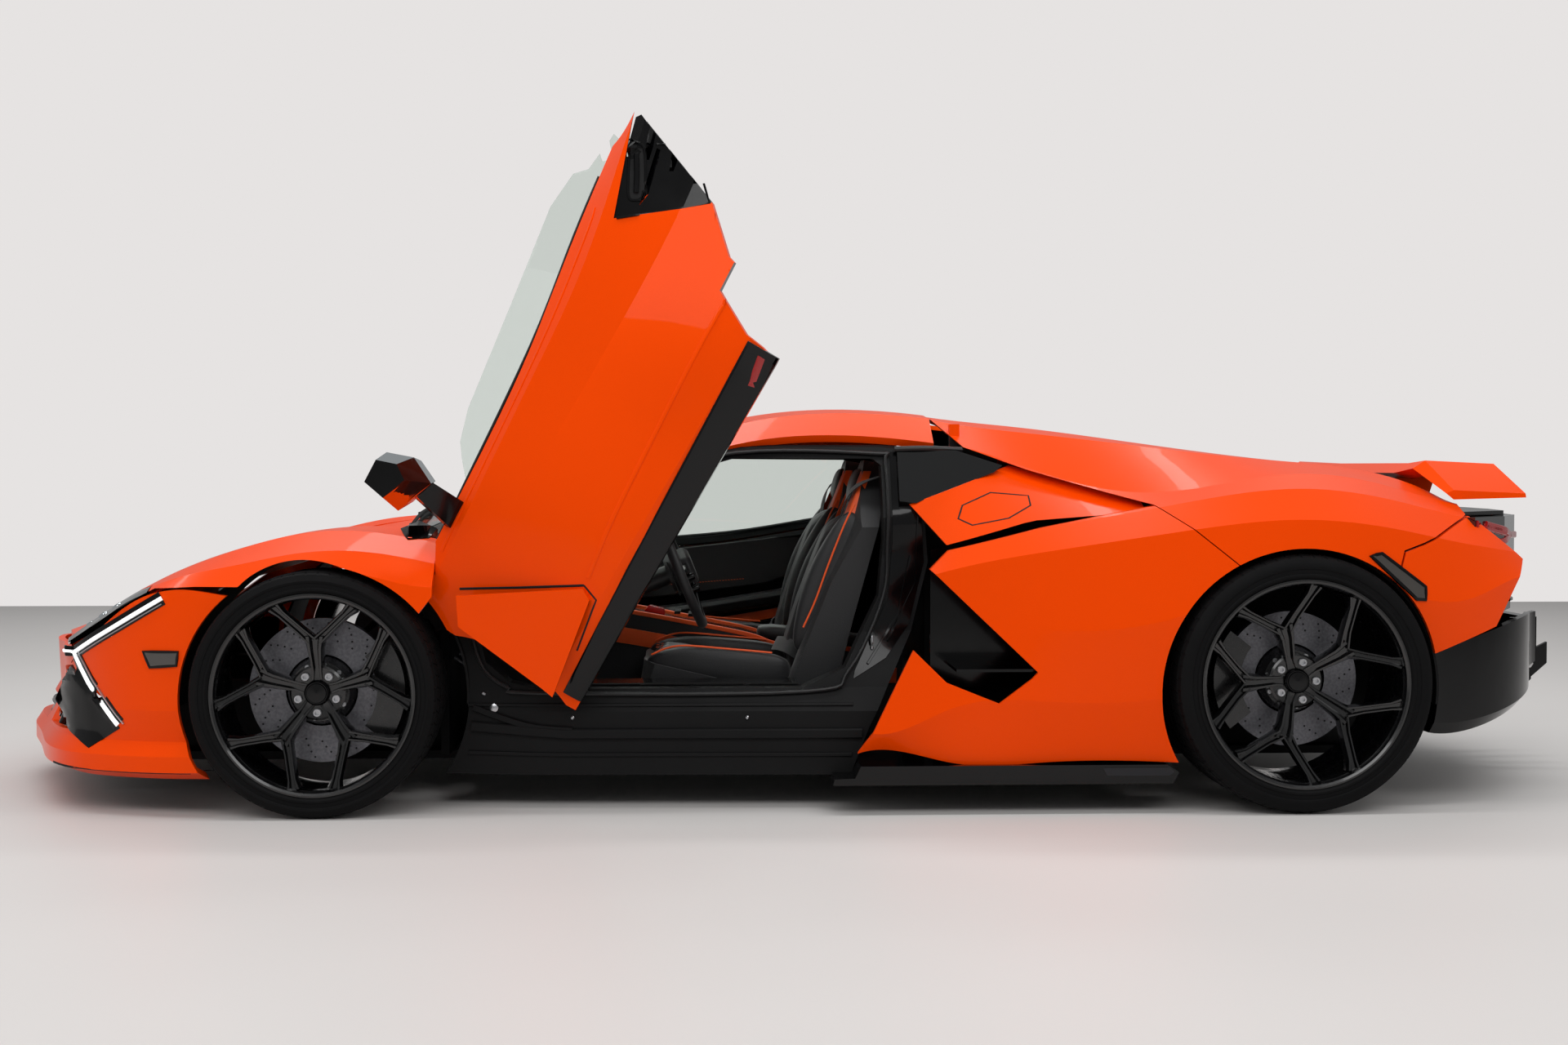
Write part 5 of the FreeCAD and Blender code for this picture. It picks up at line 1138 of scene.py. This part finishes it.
def pad_rings(stations):
    """Rounded sections across the car, from (x, z), half width, half thickness and lean of each."""
    rings = []
    for (x, z), half, thick, lean in stations:
        normal = Vector((math.sin(lean), 0, math.cos(lean)))
        ring = []
        for k in range(20):
            a = k * math.tau / 20
            across = math.copysign(abs(math.cos(a)) ** 0.45, math.cos(a))
            over = math.copysign(abs(math.sin(a)) ** 0.7, math.sin(a))
            ring.append(Vector((x, half * across, z)) + normal * thick * over)
        rings.append(ring)
    return rings


def stuffed(name, rings, cap=0.024, voxel=0.009):
    """A pad blown up by a cloth simulation round its foam, as points and faces."""
    source = bpy.data.objects.new(name + "_foam", build(*loft(rings), name))
    bpy.context.scene.collection.objects.link(source)
    remesh = source.modifiers.new("remesh", "REMESH")
    remesh.mode = "VOXEL"
    remesh.voxel_size = voxel
    bpy.context.view_layer.update()
    foam = bpy.data.meshes.new_from_object(source.evaluated_get(bpy.context.evaluated_depsgraph_get()))
    source.modifiers.clear()
    source.data = foam
    start = [v.co.copy() for v in foam.vertices]
    points = start
    low = min(v.z for v in start)
    group = source.vertex_groups.new(name="held")
    group.add([i for i, v in enumerate(start) if v.z < low + 0.004], 1.0, "REPLACE")
    cloth = source.modifiers.new("cloth", "CLOTH")
    for key, value in (("quality", 4), ("use_pressure", True), ("uniform_pressure_force", 4.0),
                       ("vertex_group_mass", "held"), ("tension_stiffness", 12.0),
                       ("compression_stiffness", 12.0), ("bending_stiffness", 0.6)):
        setattr(cloth.settings, key, value)
    cloth.settings.effector_weights.gravity = 0.0
    cloth.point_cache.frame_start = 1
    cloth.point_cache.frame_end = 20
    scene = bpy.context.scene
    for step in range(1, 21):
        scene.frame_set(step)
    shaped = bpy.data.meshes.new_from_object(source.evaluated_get(bpy.context.evaluated_depsgraph_get()))
    points = []
    for old, new in zip(start, shaped.vertices):
        move = new.co - old
        points.append(old + move * min(1.0, cap / move.length) if move.length > 1e-6 else old)
    scene.frame_set(1)
    faces = [tuple(p.vertices) for p in foam.polygons]
    bpy.data.objects.remove(source)
    return points, faces


def seat_pads():
    """Cushion, backrest and bolsters of one seat about its own centre plane."""
    pads = {}
    cushion = [((-0.505, 0.372), 0.12, 0.022, 0.0), ((-0.49, 0.384), 0.146, 0.034, 0.05),
               ((-0.4, 0.366), 0.15, 0.04, 0.12), ((-0.25, 0.334), 0.148, 0.04, 0.14),
               ((-0.13, 0.314), 0.142, 0.036, 0.1), ((-0.085, 0.312), 0.126, 0.026, 0.0)]
    back = [((-0.045, 0.35), 0.11, 0.02, -1.1), ((-0.03, 0.4), 0.136, 0.034, -1.2),
            ((0.025, 0.56), 0.142, 0.038, -1.22), ((0.075, 0.7), 0.14, 0.036, -1.25),
            ((0.118, 0.82), 0.12, 0.03, -1.28), ((0.128, 0.85), 0.096, 0.016, -1.28)]
    pads["cushion"] = stuffed("seat_cushion", pad_rings(cushion))
    pads["backrest"] = stuffed("seat_backrest", pad_rings(back))
    low = [((-0.5, 0.392), 0.02, 0.024, 0.0), ((-0.4, 0.402), 0.036, 0.044, 0.1),
           ((-0.25, 0.376), 0.042, 0.058, 0.14), ((-0.12, 0.366), 0.04, 0.056, 0.05),
           ((-0.06, 0.368), 0.024, 0.03, 0.0)]
    high = [((-0.04, 0.42), 0.02, 0.024, -1.15), ((0.0, 0.52), 0.036, 0.052, -1.2),
            ((0.04, 0.64), 0.04, 0.06, -1.22), ((0.09, 0.76), 0.036, 0.046, -1.25),
            ((0.13, 0.85), 0.022, 0.024, -1.28)]
    head = [((0.136, 0.868), 0.07, 0.014, -1.28), ((0.142, 0.89), 0.104, 0.024, -1.28),
            ((0.156, 0.94), 0.108, 0.026, -1.32), ((0.166, 0.976), 0.086, 0.016, -1.36)]
    for label, rings, shift in (("cushion_bolster", low, 0.186), ("back_bolster", high, 0.176)):
        for side, end in SIDES:
            pads[f"{label}_{end}"] = set_at(loft(pad_rings(rings)), (0, side * shift, 0))
    pads["headrest"] = loft(pad_rings(head))
    return pads


def capsule(length, radius):
    """A small stitch along X."""
    return tube([(0, 0, 0), (length * 0.2, 0, radius), (length * 0.8, 0, radius), (length, 0, 0)], radius * 2,
                sides=6)


class CAR_OT_seats(bpy.types.Operator):
    """Two bucket seats with stuffed pads, piping, orange flanks, stitching, belts and rails"""
    bl_idname = "sports_car.seats"
    bl_label = "Seats"

    def execute(self, context):
        pads = seat_pads()
        piping = [(-0.48, 0.42), (-0.4, 0.446), (-0.25, 0.436), (-0.12, 0.424)]
        rise = [(-0.026, 0.5), (0.01, 0.58), (0.05, 0.69), (0.098, 0.81), (0.128, 0.868)]
        stitch = capsule(0.009, 0.0013)
        for side, label in SIDES:
            for name, pad in pads.items():
                soft = name in ("cushion", "backrest")
                made = piece(f"seat_{name}_{label}", [set_at(pad, (0, side * SEAT_Y, 0))], "leather",
                             subdivide=1 if soft else 2, smooth=180)
            lines = [tube(smooth_path([(x, side * SEAT_Y + edge, z) for x, z in points], 6), 0.006, sides=8)
                     for edge in (-0.226, 0.226) for points in (piping, rise)]
            piece("seat_piping_" + label, lines, "orange_leather")
            # Orange flanks of the shoulders, as on the headrest's sides
            flank = []
            for edge in (-1, 1):
                ring = []
                for x, z, w in ((0.04, 0.66, 0.205), (0.092, 0.79, 0.196), (0.14, 0.9, 0.17),
                                (0.168, 0.968, 0.12)):
                    y = side * SEAT_Y + edge * w
                    ring.append([(x - 0.012, y - edge * 0.04, z), (x - 0.004, y, z),
                                 (x + 0.02, y + edge * 0.004, z), (x + 0.02, y - edge * 0.036, z)])
                flank.append(loft(ring))
            piece("seat_flanks_" + label, flank, "orange_leather", bevel=0.003, subdivide=1)
            rows = []
            for y in (-0.075, 0.0, 0.075):
                start = set_at(stitch, (-0.47, side * SEAT_Y + y, 0.4275))
                rows.append(repeated([start], 26, (0.0138, 0, -0.003), "thread", turn=False))
            piece("seat_stitches_" + label, rows, "thread")
            # Three-point belt: shoulder run, lap run and buckle
            out = side * (SEAT_Y + 0.2)
            run = smooth_path([(0.235, side * (SEAT_Y + 0.17), 0.96), (0.12, side * (SEAT_Y + 0.15), 0.905),
                               (0.075, side * (SEAT_Y + 0.02), 0.74), (-0.01, side * (SEAT_Y - 0.12), 0.52),
                               (-0.09, side * (SEAT_Y - 0.19), 0.4)], 6)
            lap = smooth_path([(0.02, out, 0.38), (-0.06, side * (SEAT_Y + 0.12), 0.432),
                               (-0.1, side * (SEAT_Y - 0.06), 0.428), (-0.09, side * (SEAT_Y - 0.19), 0.4)],
                              6)
            belts = [tube(path, 0.046, 0.003, up=(-0.9, 0, 0.45), square=True) for path in (run, lap)]
            piece("seat_belt_" + label, belts, "fabric")
            box = corners(-0.016, 0.016, 0.33, 0.405)
            buckle = slab([(-0.115, side * (SEAT_Y - 0.2) + y, z) for y, z in box], (0.026, 0, 0.006))
            piece("belt_buckle_" + label, [buckle], "orange_leather", bevel=0.004)
            box = corners(-0.014, 0.014, 0.121, 0.15)
            rail = [slab([(-0.46, side * SEAT_Y + w + y, z) for y, z in box], (0.42, 0, 0))
                    for w in (-0.205, 0.205)]
            piece("seat_rails_" + label, rail, "cast", bevel=0.002)
        return {"FINISHED"}


# The steering wheel, and the dashboard's front face from its top to its foot
WHEEL_CENTRE = Vector((-0.395, DRIVER_Y, 0.662))
WHEEL_TILT = math.radians(22)
FACE_TOP = Vector((-0.64, 0, 0.73))
FACE_LOW = Vector((-0.69, 0, 0.56))
FACE_OUT = Vector((0.959, 0, -0.282))


def on_face(y, share, out=0.0):
    """A point on the dashboard's front face, some way down and some way out."""
    return FACE_TOP.lerp(FACE_LOW, share) + Vector((0, y, 0)) + FACE_OUT * out


def face_panel(y0, y1, s0, s1, out, thick, chamfer=0.25):
    """An angular panel on the dashboard's face, its corners cut."""
    cy, cs = (y1 - y0) * chamfer * 0.3, (s1 - s0) * chamfer
    outline = [(y0 + cy, s0), (y1 - cy, s0), (y1, s0 + cs), (y1 - cy * 0.5, s1), (y0 + cy * 0.5, s1),
               (y0, s0 + cs)]
    return slab([on_face(y, s, out) for y, s in outline], FACE_OUT * thick)


class CAR_OT_cabin(bpy.types.Operator):
    """Screens, vents, console, steering wheel, pedals and mats"""
    bl_idname = "sports_car.cabin"
    bl_label = "Cabin"

    def execute(self, context):
        screens = [face_panel(-0.07, 0.07, 0.06, 1.02, 0.001, 0.012),
                   face_panel(0.25, 0.5, 0.08, 0.36, 0.001, 0.01)]
        piece("dash_screens", screens, "screen", bevel=0.002)
        frames = [face_panel(-0.084, 0.084, -0.02, 1.1, 0.0, 0.009),
                  face_panel(0.236, 0.514, 0.0, 0.44, 0.0, 0.008)]
        piece("screen_frames", frames, "gloss", bevel=0.002)
        band = [face_panel(y0, y1, 0.5, 0.66, 0.0, 0.006, 0.1) for y0, y1 in ((-0.6, -0.22), (0.12, 0.6))]
        piece("dash_orange_band", band, "orange_leather", bevel=0.002)
        vents, fins = [], []
        for y in (-0.54, -0.16, 0.16, 0.56):
            ring = [on_face(y + 0.04 * a, 0.18 * b + 0.25, 0.006) for a, b in hexagon(1.0)]
            vents.append(tube(ring, 0.006, 0.012, 8, closed=True, up=FACE_OUT))
            one = slab([on_face(y - 0.03, 0.13, 0.004), on_face(y + 0.03, 0.13, 0.004),
                        on_face(y + 0.03, 0.13, 0.01), on_face(y - 0.03, 0.13, 0.01)], (-0.0006, 0, -0.002))
            step = (FACE_LOW - FACE_TOP) * 0.06
            fins.append(repeated([one], 5, step, "gloss", turn=False))
        piece("dash_vents", vents + fins, "gloss")
        hood = []
        for x, wide, z in ((-0.86, 0.12, 0.808), (-0.8, 0.15, 0.838), (-0.7, 0.165, 0.85),
                           (-0.655, 0.16, 0.84)):
            half = ((wide, 0.78), (wide, z - 0.02), (wide * 0.85, z))
            hood.append([(x, DRIVER_Y - y, h) for y, h in half]
                        + [(x, DRIVER_Y + y, h) for y, h in reversed(half)])
        piece("instrument_hood", [loft(hood)], "leather", bevel=0.004)
        half = ((0.14, 0.79), (0.146, 0.815), (0.124, 0.834))
        dial = ([(-0.652, DRIVER_Y + y, z) for y, z in half]
                + [(-0.652, DRIVER_Y - y, z) for y, z in reversed(half)])
        piece("instrument_screen", [slab(dial, (0.004, 0, -0.001))], "screen", bevel=0.001)
        # Console: gloss bridge, orange edges, starter guard, switches and armrest
        top = [(-0.69, 0.505), (-0.62, 0.52), (-0.2, 0.44), (-0.06, 0.4), (0.3, 0.38)]
        section = ((-0.08, -0.004), (-0.074, 0.006), (0.074, 0.006), (0.08, -0.004))
        bridge = [[(x, y, z + h) for y, h in section] for x, z in top[:4]]
        piece("console_bridge", [loft(bridge)], "gloss", bevel=0.001)
        for side, label in SIDES:
            edge = smooth_path([(x, side * 0.128, z + 0.004) for x, z in top], 5)
            flank = smooth_path([(x, side * 0.139, z - 0.075) for x, z in top], 5)
            piece("console_edge_" + label, [tube(edge, 0.022, 0.014, square=True),
                                            tube(flank, 0.006, 0.05, square=True)], "orange_leather",
                  bevel=0.001)
        arm = loft(pad_rings([((-0.15, 0.44), 0.05, 0.014, 0.2), ((-0.13, 0.442), 0.066, 0.026, 0.2),
                              ((0.06, 0.415), 0.068, 0.028, 0.1), ((0.24, 0.402), 0.06, 0.024, 0.05),
                              ((0.26, 0.398), 0.044, 0.012, 0.0)]))
        piece("console_armrest", [arm], "leather", subdivide=1, smooth=180)
        shape = ((-0.52, 0.508), (-0.45, 0.494), (-0.452, 0.516), (-0.5, 0.528))
        guard = slab([(x, -0.022, z) for x, z in shape], (0, 0.044, 0))
        # The guard takes the red finish, with its faint painted glow
        piece("starter_guard", [guard], "red", bevel=0.003)
        key = slab([(x, y, 0.5) for x, y in corners(-0.42, -0.4, -0.055, -0.037)], (0.002, 0, 0.01))
        keys = repeated([key], 4, (0.0, 0.031, 0.0), "matte", turn=False)
        more = repeated([set_at(key, (0.045, 0, -0.0085))], 4, (0.0, 0.031, 0.0), "matte", turn=False)
        piece("console_switches", [keys, more], "matte", bevel=0.001)
        self.steering()
        mats = []
        for side in (-1, 1):
            outline = [(-0.98, 0.2), (-0.98, 0.52), (-0.86, 0.62), (-0.5, 0.64), (-0.5, 0.17), (-0.96, 0.17)]
            mats.append(slab([(x, side * y, 0.121) for x, y in outline], (0, 0, 0.007)))
        piece("floor_mats", mats, "fabric", "matte_black", bevel=0.002)
        pedals = []
        for y, wide in ((-0.33, 0.055), (-0.445, 0.028)):
            plate = [(-0.93, y + a, z) for a, z in corners(-wide, wide, 0.19, 0.29)]
            pedals.append(slab(plate, (-0.01, 0, 0.002)))
            pedals.append(tube([(-0.936, y, 0.25), (-1.0, y, 0.34), (-1.084, y, 0.4)], 0.016, sides=8))
        piece("pedals", pedals, "steel", bevel=0.001)
        return {"FINISHED"}

    def steering(self):
        """Leather rim, spoke covers, hub pad, paddles and dials on the steering wheel."""
        facing = Vector((math.cos(WHEEL_TILT), 0, math.sin(WHEEL_TILT)))
        up = Vector((-math.sin(WHEEL_TILT), 0, math.cos(WHEEL_TILT)))
        side = Vector((0, 1, 0))

        def at(a, r, out=0.0):
            return WHEEL_CENTRE + side * r * math.cos(a) + up * r * math.sin(a) + facing * out

        rim = [at(k * math.tau / 72, 0.178) for k in range(72)]
        piece("steering_rim", [tube(rim, 0.034, 0.031, 14, closed=True, up=facing)], "leather")
        mark = [at(math.pi / 2 + math.radians(a), 0.178) for a in (-4, -2, 0, 2, 4)]
        piece("steering_mark", [tube(mark, 0.036, 0.033, 14, up=facing)], "orange_leather")
        covers = []
        for a, wide in ((0, 0.034), (math.pi, 0.034), (math.radians(255), 0.022), (math.radians(285), 0.022)):
            along = [at(a, r, out) for r, out in ((0.045, 0.02), (0.1, 0.014), (0.168, 0.006))]
            covers.append(tube(along, wide, 0.014, up=facing, square=True))
        piece("steering_spokes", covers, "gloss", bevel=0.002)
        hub = [[at(k * math.tau / 6 + math.pi / 6, r, out) for k in range(6)]
               for r, out in ((0.066, -0.004), (0.062, 0.03), (0.05, 0.042))]
        piece("steering_hub", [loft(hub)], "leather", bevel=0.005)
        knobs = []
        for a in (math.radians(200), math.radians(-20), math.radians(235), math.radians(305)):
            knob = revolved([(0.034, 0.0004), (0.034, 0.01), (0.03, 0.012), (0.006, 0.012)], 20)
            knobs.append(stood_on(knob, at(a, 0.082), facing))
        piece("steering_dials", knobs, "gloss")
        paddles = []
        shape = ((-22, 0.085), (-18, 0.14), (26, 0.15), (34, 0.12), (20, 0.08))
        for s in (0, math.pi):
            outline = [at(s + math.radians(a), r, -0.028) for a, r in shape]
            paddles.append(slab(outline, facing * 0.004))
        piece("shift_paddles", paddles, "gloss", bevel=0.001)


CLASSES = [CarLook, CarSizes, CAR_OT_finishes, CAR_OT_stage, CAR_OT_wheels, CAR_OT_doors, CAR_OT_front,
           CAR_OT_rear, CAR_OT_sills, CAR_OT_seats, CAR_OT_cabin]
STEPS = ["finishes", "stage", "wheels", "doors", "front", "rear", "sills", "seats", "cabin"]


class CAR_PT_panel(bpy.types.Panel):
    """The car's pieces, in the order that they are made"""
    bl_idname = "CAR_PT_panel"
    bl_label = "Sports car"
    bl_space_type = "VIEW_3D"
    bl_region_type = "UI"
    bl_category = "Sports car"

    def draw(self, context):
        for group in (context.scene.car_look, context.scene.car_sizes):
            for key in group.__annotations__:
                self.layout.prop(group, key)
        for step in STEPS:
            self.layout.operator("sports_car." + step)


def register():
    """Adds the classes and the scene's properties."""
    for item in CLASSES + [CAR_PT_panel]:
        bpy.utils.register_class(item)
    bpy.types.Scene.car_look = bpy.props.PointerProperty(type=CarLook)
    bpy.types.Scene.car_sizes = bpy.props.PointerProperty(type=CarSizes)


def unregister():
    """Takes them out again."""
    del bpy.types.Scene.car_sizes
    del bpy.types.Scene.car_look
    for item in reversed(CLASSES + [CAR_PT_panel]):
        bpy.utils.unregister_class(item)


def main():
    """Makes the car step by step."""
    register()
    for step in STEPS:
        getattr(bpy.ops.sports_car, step)()


if __name__ == "__main__":
    main()
